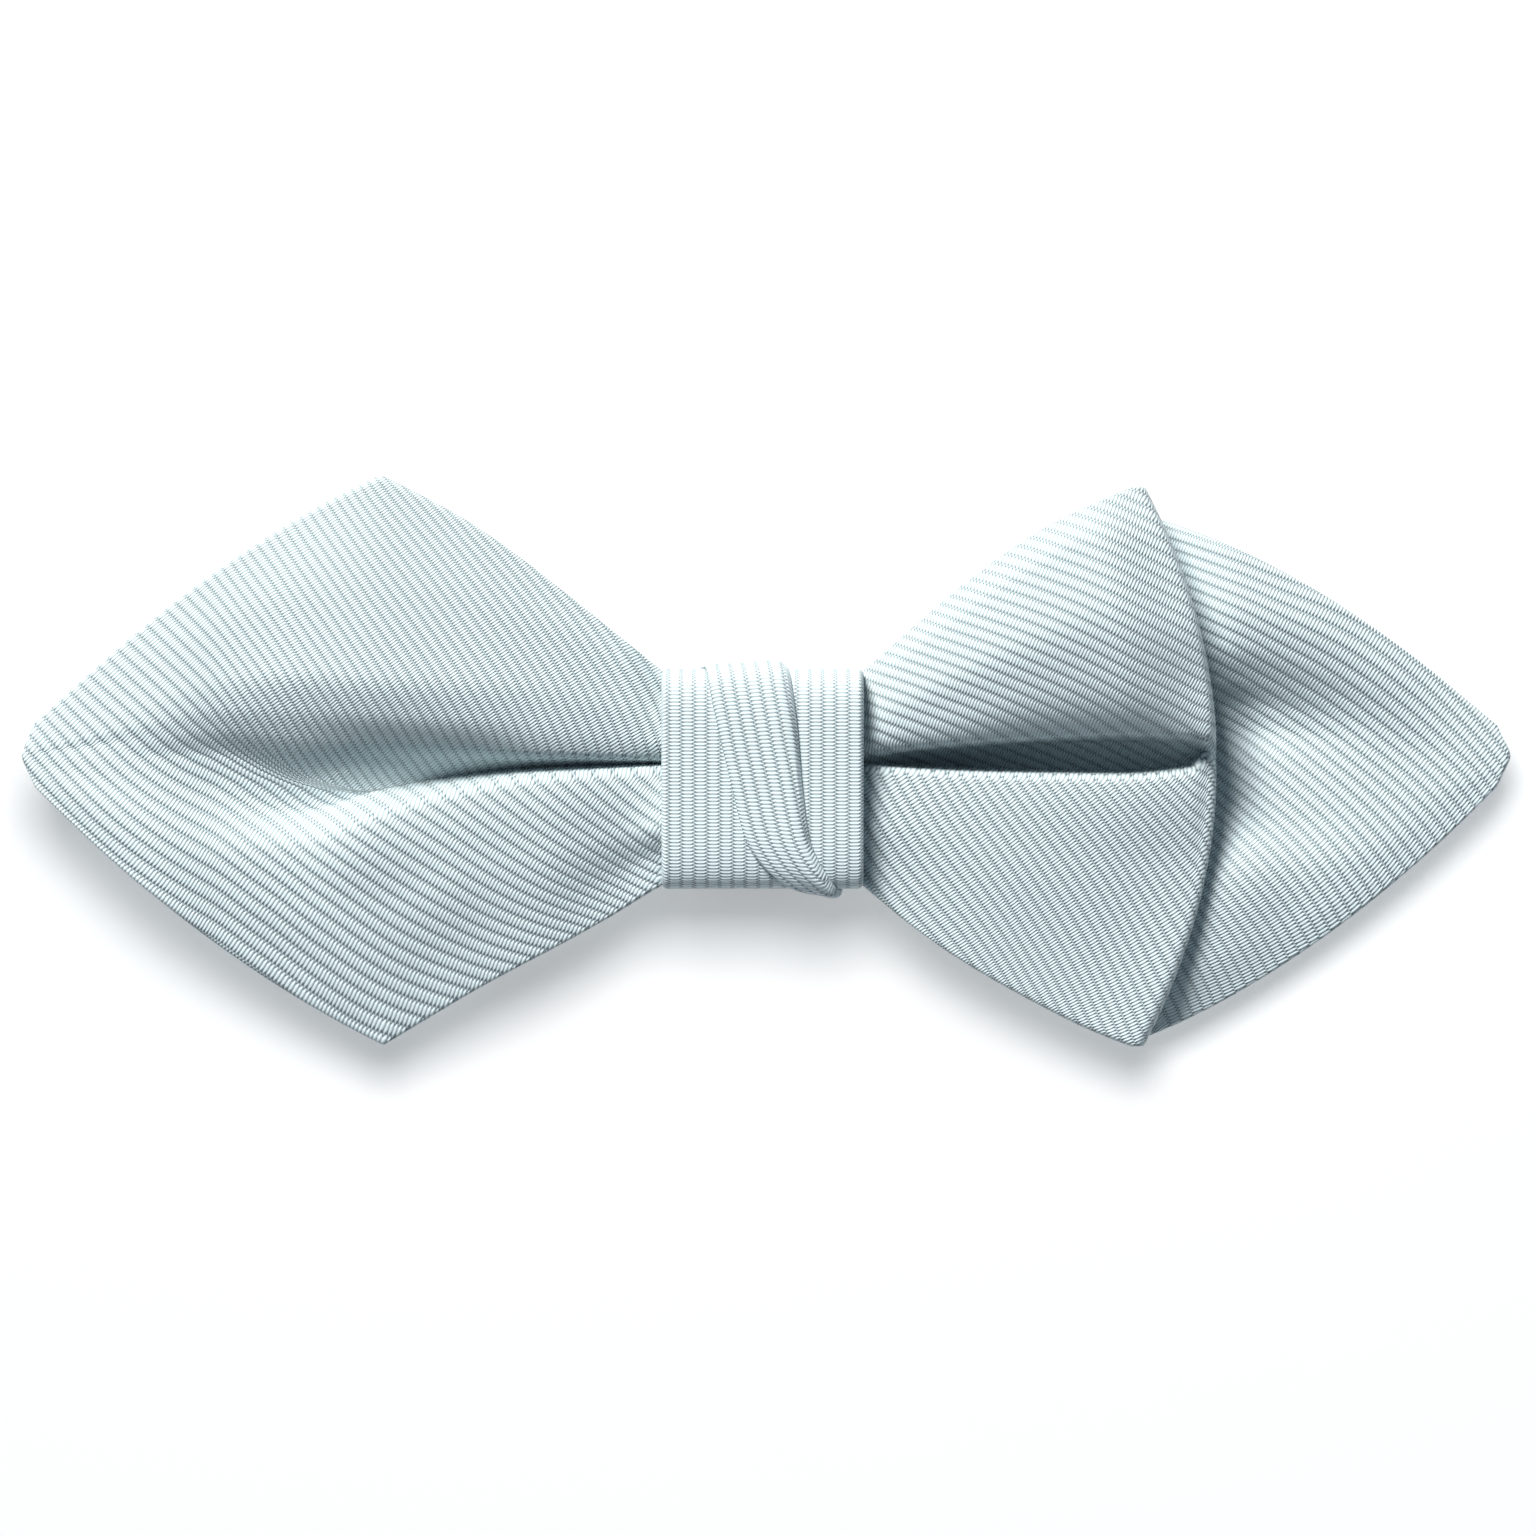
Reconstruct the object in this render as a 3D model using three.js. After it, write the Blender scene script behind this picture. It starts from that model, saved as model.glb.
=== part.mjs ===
// A pre-tied diamond point bow tie lying on its back, in millimetres.
// +X runs from the left wing to the right one, +Y up the wearer's front and +Z out of the knot.
//
// One strip of turned cloth with two pointed ends is laid in a Z: the front blade on the left
// runs through the knot into the right loop, turns back through the knot into the left loop,
// and turns again into the rear blade on the right. A band holds the three layers gathered.
import * as THREE from 'three';

// Wings, from the middle of the knot outwards
const bladeReach = 60;
const rightLoopReach = 36.3;
const leftLoopReach = 33;
const cornerHeight = 22.9;
const rearCornerHeight = 21;
const frontCornerAt = 31;
const rearTopCornerAt = 26.5;
const rearBottomCornerAt = 29;
const loopCornerAt = 30.4;
const leftLoopCornerAt = 27;
const tipHalfWidth = 1.4;
const tipHeight = 0.9;

// Cloth
const clothWall = 1.2;
const foldRadius = 1.2;
const wingRise = 20;
const creaseLine = 0.3;
const edgeDropPower = 2.2;

// Knot
const knotWidth = 16.2;
const knotHeight = 17.7;
const knotDepth = 13.4;
const knotMiddle = -0.95;
const knotOffset = -0.44;
const bandWall = 1;
const bandCornerPower = 3.2;
const fitGap = 0.3;
const waistClearance = 0.95;
const mouthFlare = 2.1;
const flareStartShare = 1.02;
const flareEndShare = 1.22;
const pleatThickness = 1;
const pleatEdgeShare = 0.35;

// Clip behind the knot
const clipWidth = 11;
const clipLength = 17;
const clipSheet = 0.6;
const clipDepth = 3.6;

// How finely the cloth is divided
const cellsAcross = 16;
const rowsAlong = 11;
const rowsInFold = 6;
const stepsAroundKnot = 44;
const stepsAlongPleat = 26;
const cellsAcrossPleat = 5;
const stepsRoundEdge = 4;

// Places that follow from the sizes
const knotBack = clipDepth + fitGap;
const knotAxis = knotBack + knotDepth / 2;
const hollowHalfHeight = knotHeight / 2 - bandWall;
const waistHalfHeight = hollowHalfHeight - waistClearance;
// How far the knot's mouth lies from the middle of the tie, on the side that is asked for
const mouthAt = (side) => knotWidth / 2 + side * knotOffset;

// Reads one column of a table at a place between its rows, without overshooting them
function tableValue(table, column, place) {
  const at = table.rows.map((row) => row[0]);
  const values = table.rows.map((row) => row[table.columns.indexOf(column)]);
  const last = at.length - 1;
  const slopes = at.slice(1).map((end, i) => (values[i + 1] - values[i]) / (end - at[i]));
  const tangents = at.map((_, i) => {
    if (i === 0) return slopes[0];
    if (i === last) return slopes[last - 1];
    const product = slopes[i - 1] * slopes[i];
    return product <= 0 ? 0 : (2 * product) / (slopes[i - 1] + slopes[i]);
  });
  let i = 0;
  while (i < last - 1 && place > at[i + 1]) i += 1;
  const span = at[i + 1] - at[i];
  const t = THREE.MathUtils.clamp((place - at[i]) / span, 0, 1);
  const rest = 1 - t;
  return (
    rest * rest * (1 + 2 * t) * values[i] +
    t * t * (3 - 2 * t) * values[i + 1] +
    span * t * rest * (rest * tangents[i] - t * tangents[i + 1])
  );
}

// Folds of each leaf, a row for each section from the knot outwards. along is a share of the
// leaf's reach, the next four columns are shares of wingRise and the mouths of cornerHeight.
// rise is the height of the lobes, drops are how far the edges lie below it, crease is the
// depth of the middle fold, and the mouths are its half widths above and below the crease line.
const foldColumns = ['along', 'rise', 'topDrop', 'bottomDrop', 'crease', 'mouthUp', 'mouthDown'];

const frontBladeFolds = {
  columns: foldColumns,
  rows: [
    [0.0, 0.74, 0.13, 0.13, 0.2, 0.1, 0.1],
    [0.135, 0.74, 0.13, 0.13, 0.2, 0.1, 0.1],
    [0.16, 0.77, 0.12, 0.12, 0.25, 0.115, 0.11],
    [0.3, 0.94, 0.08, 0.16, 0.39, 0.16, 0.145],
    [0.45, 1.0, 0.12, 0.26, 0.33, 0.22, 0.16],
    [0.6, 0.96, 0.14, 0.28, 0.2, 0.25, 0.19],
    [0.76, 0.84, 0.08, 0.13, 0.06, 0.24, 0.22],
    [1.0, 0.62, 0.0, 0.0, 0.0, 0.22, 0.22],
  ],
};

const rightLoopFrontFolds = {
  columns: foldColumns,
  rows: [
    [0.0, 0.74, 0.13, 0.13, 0.2, 0.1, 0.1],
    [0.23, 0.74, 0.13, 0.13, 0.2, 0.1, 0.1],
    [0.27, 0.77, 0.12, 0.12, 0.25, 0.115, 0.11],
    [0.45, 0.98, 0.16, 0.13, 0.44, 0.16, 0.15],
    [0.7, 1.02, 0.19, 0.16, 0.36, 0.15, 0.135],
    [0.9, 0.83, 0.13, 0.12, 0.15, 0.115, 0.1],
    [1.0, 0.7, 0.08, 0.08, 0.05, 0.1, 0.09],
  ],
};

const rightLoopRearFolds = {
  columns: foldColumns,
  rows: [
    [0.0, 0.57, 0.05, 0.05, 0.11, 0.11, 0.11],
    [0.24, 0.56, 0.05, 0.05, 0.1, 0.12, 0.12],
    [0.5, 0.43, 0.05, 0.07, 0.06, 0.17, 0.17],
    [0.8, 0.43, 0.08, 0.09, 0.05, 0.15, 0.15],
    [1.0, 0.58, 0.08, 0.08, 0.05, 0.1, 0.09],
  ],
};

const leftLoopFrontFolds = {
  columns: foldColumns,
  rows: [
    [0.0, 0.57, 0.05, 0.05, 0.11, 0.11, 0.11],
    [0.245, 0.56, 0.05, 0.05, 0.11, 0.12, 0.12],
    [0.55, 0.63, 0.1, 0.13, 0.18, 0.17, 0.17],
    [0.8, 0.6, 0.1, 0.14, 0.11, 0.17, 0.17],
    [1.0, 0.46, 0.05, 0.07, 0.04, 0.12, 0.12],
  ],
};

const leftLoopRearFolds = {
  columns: foldColumns,
  rows: [
    [0.0, 0.3, -0.13, -0.13, -0.075, 0.12, 0.12],
    [0.26, 0.3, -0.13, -0.13, -0.075, 0.12, 0.12],
    [0.3, 0.29, -0.1, -0.1, -0.08, 0.13, 0.13],
    [0.55, 0.15, 0.04, 0.04, -0.07, 0.2, 0.2],
    [0.8, 0.16, 0.06, 0.07, -0.03, 0.2, 0.2],
    [1.0, 0.34, 0.05, 0.07, 0.04, 0.12, 0.12],
  ],
};

const rearBladeFolds = {
  columns: foldColumns,
  rows: [
    [0.0, 0.3, -0.13, -0.13, -0.075, 0.12, 0.12],
    [0.135, 0.3, -0.13, -0.13, -0.075, 0.12, 0.12],
    [0.155, 0.29, -0.1, -0.1, -0.075, 0.13, 0.13],
    [0.21, 0.24, 0.0, 0.0, -0.04, 0.16, 0.16],
    [0.32, 0.25, 0.07, 0.12, 0.03, 0.2, 0.2],
    [0.47, 0.31, 0.14, 0.26, 0.1, 0.24, 0.2],
    [0.62, 0.36, 0.11, 0.24, 0.17, 0.26, 0.22],
    [0.78, 0.34, 0.06, 0.12, 0.05, 0.24, 0.24],
    [1.0, 0.22, 0.0, 0.0, 0.0, 0.22, 0.22],
  ],
};

// Edge of a wing, from the mouth of the knot out to a corner and on to the tip. Bulges say how
// far each stretch stands out from a straight line, as a share of its own rise.
function wingEdge(x, mouth, edge) {
  const flare = THREE.MathUtils.smoothstep(x, flareStartShare * mouth, flareEndShare * mouth);
  const waist = waistHalfHeight + mouthFlare * flare;
  if (x <= mouth) return waist;
  if (x <= edge.cornerAt) {
    const t = (x - mouth) / (edge.cornerAt - mouth);
    return waist + (edge.height - waist) * (t + edge.innerBulge * t * (1 - t));
  }
  const s = (edge.endAt - x) / (edge.endAt - edge.cornerAt);
  return tipHalfWidth + (edge.height - tipHalfWidth) * (s + edge.outerBulge * s * (1 - s));
}

function leaf(side, reach, folds, edges, foldBow) {
  return { side, reach, folds, edges, foldBow };
}

const blade = (cornerAt, height, innerBulge, outerBulge) => ({
  cornerAt,
  height,
  innerBulge,
  outerBulge,
  endAt: bladeReach,
});
const loop = (cornerAt, height, innerBulge) => ({ cornerAt, height, innerBulge });

const frontBlade = leaf(
  -1,
  bladeReach,
  frontBladeFolds,
  {
    top: blade(frontCornerAt, cornerHeight, 0.3, 0.36),
    bottom: blade(frontCornerAt, cornerHeight, 0.05, 0.36),
  },
  0,
);
const rearBlade = leaf(
  1,
  bladeReach,
  rearBladeFolds,
  {
    top: blade(rearTopCornerAt, rearCornerHeight, 0.3, 0.6),
    bottom: blade(rearBottomCornerAt, cornerHeight, 0.3, 0.48),
  },
  0,
);
const rightLoopEdges = {
  top: loop(loopCornerAt, cornerHeight, 0.42),
  bottom: loop(loopCornerAt, cornerHeight, 0.5),
};
const leftLoopEdges = {
  top: loop(leftLoopCornerAt, rearCornerHeight, 0.2),
  bottom: loop(leftLoopCornerAt, rearCornerHeight, 0),
};
const foldInset = foldRadius + clothWall / 2;
const rightLoopEnd = rightLoopReach - foldInset;
const leftLoopEnd = leftLoopReach - foldInset;
const rightBow = rightLoopReach - loopCornerAt;
const leftBow = leftLoopReach - leftLoopCornerAt;
const rightLoopFront = leaf(1, rightLoopEnd, rightLoopFrontFolds, rightLoopEdges, rightBow);
const rightLoopRear = leaf(1, rightLoopEnd, rightLoopRearFolds, rightLoopEdges, rightBow);
const leftLoopFront = leaf(-1, leftLoopEnd, leftLoopFrontFolds, leftLoopEdges, leftBow);
const leftLoopRear = leaf(-1, leftLoopEnd, leftLoopRearFolds, leftLoopEdges, leftBow);

// Middle surface of a leaf. along runs 0 to 1 from the knot outwards, and across from 1 at the
// top edge to -1 at the bottom edge.
function leafPoint(piece, along, across) {
  const value = (column) => tableValue(piece.folds, column, along);
  const x = along * piece.reach - piece.foldBow * across * across * along ** 3;
  const edge = across >= 0 ? piece.edges.top : piece.edges.bottom;
  const edgeX = along * piece.reach - piece.foldBow * along ** 3;
  const mouth = mouthAt(piece.side);
  const half = wingEdge(piece.foldBow ? edgeX : x, mouth, edge);
  const outOfKnot = THREE.MathUtils.smoothstep(x, mouth, 3 * mouth);
  const middle = THREE.MathUtils.lerp(knotMiddle, piece.foldBow ? 0 : tipHeight * along, outOfKnot);
  const y = middle + across * half;
  const spread = Math.abs(across);
  const drop = wingRise * value(across >= 0 ? 'topDrop' : 'bottomDrop') * spread ** edgeDropPower;
  const spreadOfFold = cornerHeight * value(y >= creaseLine ? 'mouthUp' : 'mouthDown');
  const pinch = Math.exp(-(((y - creaseLine) / spreadOfFold) ** 2));
  const z = wingRise * (value('rise') - value('crease') * pinch) - drop;
  return new THREE.Vector3(piece.side * x, y, z);
}

// Where a leaf gets its rows: close together in the mouth of the knot, and even beyond it
function leafPlaces(piece) {
  const inKnot = [0, 0.47, flareStartShare, (flareStartShare + flareEndShare) / 2, flareEndShare];
  const places = inKnot.map((share) => (share * mouthAt(piece.side)) / piece.reach);
  const start = places[places.length - 1];
  for (let i = 1; i <= rowsAlong; i += 1) places.push(THREE.MathUtils.lerp(start, 1, i / rowsAlong));
  return places;
}

// Rows of points along the whole strip, from the front tip to the rear tip. A row that two
// leaves share at the middle of the knot or at a fold is kept once.
function stripRows() {
  const across = Array.from({ length: cellsAcross + 1 }, (_, i) => 1 - (2 * i) / cellsAcross);
  const rows = [];
  const addLeaf = (piece, outwards) => {
    const places = leafPlaces(piece);
    if (!outwards) places.reverse();
    places.forEach((along) => rows.push(across.map((v) => leafPoint(piece, along, v))));
  };
  const addFold = (front, rear) => {
    for (let i = 1; i < rowsInFold; i += 1) {
      const turn = (Math.PI * i) / rowsInFold;
      rows.push(
        across.map((v) => {
          const start = leafPoint(front, 1, v);
          const end = leafPoint(rear, 1, v);
          const point = start.clone().lerp(end, (1 - Math.cos(turn)) / 2);
          point.x += front.side * foldRadius * Math.sin(turn);
          return point;
        }),
      );
    }
  };
  addLeaf(frontBlade, false);
  rows.pop();
  addLeaf(rightLoopFront, true);
  addFold(rightLoopFront, rightLoopRear);
  addLeaf(rightLoopRear, false);
  rows.pop();
  addLeaf(leftLoopFront, true);
  addFold(leftLoopFront, leftLoopRear);
  addLeaf(leftLoopRear, false);
  rows.pop();
  addLeaf(rearBlade, true);
  return rows;
}

// Closed mesh from a list of faces with shared corners
function meshFrom(points, faces) {
  const geometry = new THREE.BufferGeometry();
  const numbers = points.flatMap((point) => [point.x, point.y, point.z]);
  geometry.setAttribute('position', new THREE.Float32BufferAttribute(numbers, 3));
  geometry.setIndex(faces.flat());
  geometry.computeVertexNormals();
  return geometry;
}

const quad = (a, b, c, d) => [a, b, c, a, c, d];

// A sheet with a wall: the rows give its middle surface, and both faces lie half a wall from it
function sheetGeometry(rows, wall) {
  const count = rows.length;
  const width = rows[0].length;
  const points = [[], []];
  for (let i = 0; i < count; i += 1) {
    for (let j = 0; j < width; j += 1) {
      const before = rows[Math.max(i - 1, 0)][j];
      const after = rows[Math.min(i + 1, count - 1)][j];
      const above = rows[i][Math.max(j - 1, 0)];
      const below = rows[i][Math.min(j + 1, width - 1)];
      const along = after.clone().sub(before);
      const normal = along.cross(above.clone().sub(below)).normalize();
      points[0].push(rows[i][j].clone().addScaledVector(normal, wall / 2));
      points[1].push(rows[i][j].clone().addScaledVector(normal, -wall / 2));
    }
  }
  const rear = count * width;
  const faces = [];
  for (let i = 0; i + 1 < count; i += 1) {
    for (let j = 0; j + 1 < width; j += 1) {
      const a = i * width + j;
      faces.push(quad(a, a + 1, a + width + 1, a + width));
      faces.push(quad(rear + a, rear + a + width, rear + a + width + 1, rear + a + 1));
    }
    const top = i * width;
    const bottom = top + width - 1;
    faces.push(quad(top, top + width, rear + top + width, rear + top));
    faces.push(quad(bottom, rear + bottom, rear + bottom + width, bottom + width));
  }
  const lastRow = (count - 1) * width;
  for (let j = 0; j + 1 < width; j += 1) {
    faces.push(quad(j, rear + j, rear + j + 1, j + 1));
    faces.push(quad(lastRow + j, lastRow + j + 1, rear + lastRow + j + 1, rear + lastRow + j));
  }
  return meshFrom(points.flat(), faces);
}

// Rings of points joined one to the next. A closed run of rings is a loop, and an open one
// gets a cap at each end.
function ringGeometry(rings, closed) {
  const count = rings.length;
  const size = rings[0].length;
  const faces = [];
  for (let i = 0; i < (closed ? count : count - 1); i += 1) {
    for (let j = 0; j < size; j += 1) {
      const here = i * size;
      const next = ((i + 1) % count) * size;
      const k = (j + 1) % size;
      faces.push(quad(here + j, here + k, next + k, next + j));
    }
  }
  if (!closed) {
    const last = (count - 1) * size;
    for (let j = 1; j + 1 < size; j += 1) {
      faces.push([0, j + 1, j]);
      faces.push([last, last + j, last + j + 1]);
    }
  }
  return meshFrom(rings.flat(), faces);
}

// Outline of the knot in its own plane, a rounded box that stands outset beyond its hollow
function knotOutline(turn, outset) {
  const power = 2 / bandCornerPower;
  const along = Math.cos(turn);
  const up = Math.sin(turn);
  const halfHeight = hollowHalfHeight + outset;
  const halfDepth = knotDepth / 2 - bandWall + outset;
  return {
    y: knotMiddle + Math.sign(up) * Math.abs(up) ** power * halfHeight,
    z: knotAxis + Math.sign(along) * Math.abs(along) ** power * halfDepth,
  };
}

// The knot's band: a flat loop of cloth whose two side edges are rolled round
function bandGeometry() {
  const roll = bandWall / 2;
  const straight = knotWidth / 2 - roll;
  const rim = Array.from({ length: stepsRoundEdge + 1 }, (_, i) => (Math.PI * i) / stepsRoundEdge);
  const section = [
    ...rim.map((turn) => [straight + roll * Math.sin(turn), roll + roll * Math.cos(turn)]),
    ...rim.map((turn) => [-straight - roll * Math.sin(turn), roll - roll * Math.cos(turn)]),
  ];
  const rings = Array.from({ length: stepsAroundKnot }, (_, i) => {
    const turn = (2 * Math.PI * i) / stepsAroundKnot;
    return section.map(([x, outset]) => {
      const { y, z } = knotOutline(turn, outset);
      return new THREE.Vector3(knotOffset + x, y, z);
    });
  });
  return ringGeometry(rings, true);
}

// The band's last turn, folded narrow and laid slanting over the front. around is a share of
// the way from the back of the knot over the top and down the front to the tuck under it, left
// and right are shares of half the knot's width, and swell is a share of pleatThickness.
const pleatTurns = {
  columns: ['around', 'left', 'right', 'swell'],
  rows: [
    [0.0, -0.62, 0.2, 0.5],
    [0.3, -0.6, 0.24, 1.0],
    [0.5, -0.36, 0.33, 1.0],
    [0.68, -0.22, 0.4, 1.0],
    [0.84, 0.02, 0.55, 1.0],
    [0.93, 0.35, 0.68, 0.8],
    [1.0, 0.62, 0.78, 0.5],
  ],
};
const pleatStart = 0.62 * Math.PI;
const pleatEnd = -0.58 * Math.PI;

function pleatGeometry() {
  const half = knotWidth / 2;
  const rings = Array.from({ length: stepsAlongPleat + 1 }, (_, i) => {
    const around = i / stepsAlongPleat;
    const turn = THREE.MathUtils.lerp(pleatStart, pleatEnd, around);
    const left = half * tableValue(pleatTurns, 'left', around);
    const right = half * tableValue(pleatTurns, 'right', around);
    const thick = pleatThickness * tableValue(pleatTurns, 'swell', around);
    const place = (share, outset) => {
      const { y, z } = knotOutline(turn, bandWall + fitGap + outset);
      return new THREE.Vector3(knotOffset + THREE.MathUtils.lerp(left, right, share), y, z);
    };
    const ring = [];
    for (let k = 0; k <= cellsAcrossPleat; k += 1) ring.push(place(k / cellsAcrossPleat, 0));
    for (let k = cellsAcrossPleat; k >= 0; k -= 1) {
      const share = k / cellsAcrossPleat;
      const crown = Math.sin(Math.PI * share);
      ring.push(place(share, thick * THREE.MathUtils.lerp(pleatEdgeShare, 1, crown)));
    }
    return ring;
  });
  return ringGeometry(rings, false);
}

// The clip: one strip of sheet metal bent double, its bend at the top and its mouth below
function clipGeometry() {
  const outer = clipDepth / 2;
  const inner = outer - clipSheet;
  const straight = clipLength - outer;
  const shape = new THREE.Shape();
  shape.moveTo(0, -outer);
  shape.lineTo(straight, -outer);
  shape.absarc(straight, 0, outer, -Math.PI / 2, Math.PI / 2, false);
  shape.lineTo(0, outer);
  shape.lineTo(0, inner);
  shape.lineTo(straight, inner);
  shape.absarc(straight, 0, inner, Math.PI / 2, -Math.PI / 2, true);
  shape.lineTo(0, -inner);
  shape.closePath();
  const options = { depth: clipWidth, bevelEnabled: false, curveSegments: 8 };
  const geometry = new THREE.ExtrudeGeometry(shape, options);
  geometry.rotateX(Math.PI / 2);
  geometry.rotateZ(Math.PI / 2);
  geometry.translate(knotOffset - clipWidth / 2, knotMiddle - clipLength / 2, outer);
  return geometry;
}

const clothColour = 0xc4d5d9;
const metalColour = 0xb9bcc0;
const cloth = () => new THREE.MeshStandardMaterial({ color: clothColour, roughness: 0.55 });
const metal = () =>
  new THREE.MeshStandardMaterial({ color: metalColour, roughness: 0.32, metalness: 1 });

function named(name, geometry, material) {
  const mesh = new THREE.Mesh(geometry, material);
  mesh.name = name;
  return mesh;
}

// The whole tie, set down with its lowest point on the surface and its box centred
const bowTie = new THREE.Group();
bowTie.add(
  named('bow_strip', sheetGeometry(stripRows(), clothWall), cloth()),
  named('knot_band', bandGeometry(), cloth()),
  named('knot_pleat', pleatGeometry(), cloth()),
  named('collar_clip', clipGeometry(), metal()),
);
const box = new THREE.Box3().setFromObject(bowTie);
bowTie.position.set(-(box.min.x + box.max.x) / 2, -(box.min.y + box.max.y) / 2, -box.min.z);

export default bowTie;
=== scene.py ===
# %% [markdown]
# A diamond point bow tie
#
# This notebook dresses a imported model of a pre-tied bow tie in Blender. The tie lies on its
# back on a white table and the camera looks straight down on it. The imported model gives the
# true places and sizes in metres. Everything soft is built again here with finer folds and a
# real ribbed surface, and the metal clip behind the knot keeps its own mesh.

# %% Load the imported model
import math

import bpy
import numpy as np
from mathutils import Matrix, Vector


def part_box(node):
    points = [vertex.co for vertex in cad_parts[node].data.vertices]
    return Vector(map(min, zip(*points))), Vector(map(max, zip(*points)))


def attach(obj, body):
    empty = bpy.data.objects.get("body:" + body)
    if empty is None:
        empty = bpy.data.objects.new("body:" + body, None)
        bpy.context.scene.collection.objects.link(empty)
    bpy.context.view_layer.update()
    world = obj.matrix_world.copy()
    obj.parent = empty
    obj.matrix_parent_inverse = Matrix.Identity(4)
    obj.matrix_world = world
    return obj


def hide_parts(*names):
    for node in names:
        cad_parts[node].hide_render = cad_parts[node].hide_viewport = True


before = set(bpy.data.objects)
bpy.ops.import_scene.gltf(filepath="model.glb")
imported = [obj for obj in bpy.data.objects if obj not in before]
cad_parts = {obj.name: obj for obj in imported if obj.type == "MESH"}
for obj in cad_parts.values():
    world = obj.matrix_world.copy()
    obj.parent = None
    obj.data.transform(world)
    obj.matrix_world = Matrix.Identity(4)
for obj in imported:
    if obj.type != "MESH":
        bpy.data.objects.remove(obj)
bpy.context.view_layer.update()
bpy.ops.object.select_all(action="DESELECT")
print("CAD nodes:", sorted(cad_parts))

# %% [markdown]
# Working in millimetres
#
# Cloth is easier to think about in millimetres, and the sections of the wings are written
# that way. Blender counts in metres, so each point is scaled when its mesh is made. The clip
# sits right behind the knot's middle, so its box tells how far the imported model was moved.

# %% Find the middle of the knot
MM = 0.001
# the knot's middle in millimetres to the right of the tie's own middle, and above it
KNOT_OFFSET = -0.44
KNOT_MIDDLE = -0.95
clip_low, clip_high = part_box("collar_clip")
SHIFT = np.array(
    [
        (clip_low.x + clip_high.x) / 2 / MM - KNOT_OFFSET,
        (clip_low.y + clip_high.y) / 2 / MM - KNOT_MIDDLE,
        0.0,
    ]
)
print("shift in mm:", SHIFT.round(3))

# %% [markdown]
# The camera
#
# The tie is seen straight from above. A long lens from far away keeps the wings from leaning
# outwards. The view is as wide as the photograph's, 123.5 mm at the height of the cloth.

# %% Add the camera
VIEW_WIDTH = 0.12354
CLOTH_HEIGHT = 0.012
CAMERA_DISTANCE = 1.2
SENSOR_WIDTH = 36
VIEW_DROP = 0.08  # in millimetres, as the picture's middle lies a little below the tie's
camera_place = (SHIFT[0] * MM, (SHIFT[1] - VIEW_DROP) * MM, CLOTH_HEIGHT + CAMERA_DISTANCE)
bpy.ops.object.camera_add(location=camera_place, rotation=(0, 0, 0))
camera = bpy.context.object
camera.data.sensor_width = SENSOR_WIDTH
camera.data.lens = SENSOR_WIDTH * CAMERA_DISTANCE / VIEW_WIDTH
camera.data.clip_end = 10
bpy.context.scene.camera = camera
print("lens:", round(camera.data.lens, 1), "mm")

# %% [markdown]
# The light
#
# The photograph is lit from above and a little from the left, at about half height: the folds
# throw soft shadows down to the right, and every slope that faces the lower edge is in shade.
# The shadow on the ground is much shorter, as in a studio that lights its table on its own.
# So there are two soft lights, each linked further down to what it lights: one for the tie and
# a high one for the table. One light for both would throw a shadow on the table that is too
# long. A weak, pale blue world stands for the room all round and fills the shade.

# %% Add the lights
ROOM_COLOUR = (0.67, 0.83, 1.0, 1)
ROOM_STRENGTH = 0.19
LAMP_COLOUR = (1.0, 0.99, 0.97)
AIM = Vector((0, 0, 0.01))
scene = bpy.context.scene
scene.view_settings.view_transform = "Standard"
world = bpy.data.worlds.new("pale_room")
world.use_nodes = True
scene.world = world


def set_inputs(node, values):
    for name, value in values.items():
        node.inputs[name].default_value = value


def add_area_light(name, place, size, energy):
    bpy.ops.object.light_add(type="AREA", location=place)
    light = bpy.context.object
    light.name = name
    light.data.size = size
    light.data.energy = energy
    light.data.color = LAMP_COLOUR
    light.rotation_mode = "QUATERNION"
    light.rotation_quaternion = (AIM - Vector(place)).to_track_quat("-Z", "Y")
    return light


set_inputs(world.node_tree.nodes["Background"], {"Color": ROOM_COLOUR, "Strength": ROOM_STRENGTH})
tie_light = add_area_light("tie_light", (-0.21, 0.51, 0.60), size=0.24, energy=12.0)
table_light = add_area_light("table_light", (-0.03, 0.25, 0.75), size=0.30, energy=4.4)
print("lights:", tie_light.name, "and", table_light.name)

# %% [markdown]
# The table
#
# A pale floor carries the soft shadow. It is a plane that is larger than any view of the tie.
# The photograph's ground is burnt out to pure white, so the floor also glows a little: only
# the darkest part of the shadow is left to see. A stronger lamp would burn the ground out too,
# but leave the shadow too dark.

# %% Add the floor
FLOOR_SIZE = 3
FLOOR_GLOW = 0.31
bpy.ops.mesh.primitive_plane_add(size=FLOOR_SIZE, location=(0, 0, 0))
floor = bpy.context.object
floor.name = "floor"
floor_material = bpy.data.materials.new("white_table")
floor_material.use_nodes = True
set_inputs(floor_material.node_tree.nodes["Principled BSDF"], {
    "Base Color": (0.93, 0.93, 0.93, 1), "Roughness": 0.9, "Specular IOR Level": 0.1,
    "Emission Color": (1.0, 0.98, 0.965, 1), "Emission Strength": FLOOR_GLOW,
})
floor.data.materials.append(floor_material)
print("floor:", FLOOR_SIZE, "m wide, glow", FLOOR_GLOW)

# %% [markdown]
# Node helpers
#
# The shader groups below are mostly arithmetic. These small helpers add one node and connect
# its inputs, so that each line of a material reads as one step.


# %% Helpers for node trees
def put_in(tree, socket, value):
    if isinstance(value, bpy.types.NodeSocket):
        tree.links.new(value, socket)
    else:
        socket.default_value = value


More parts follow.
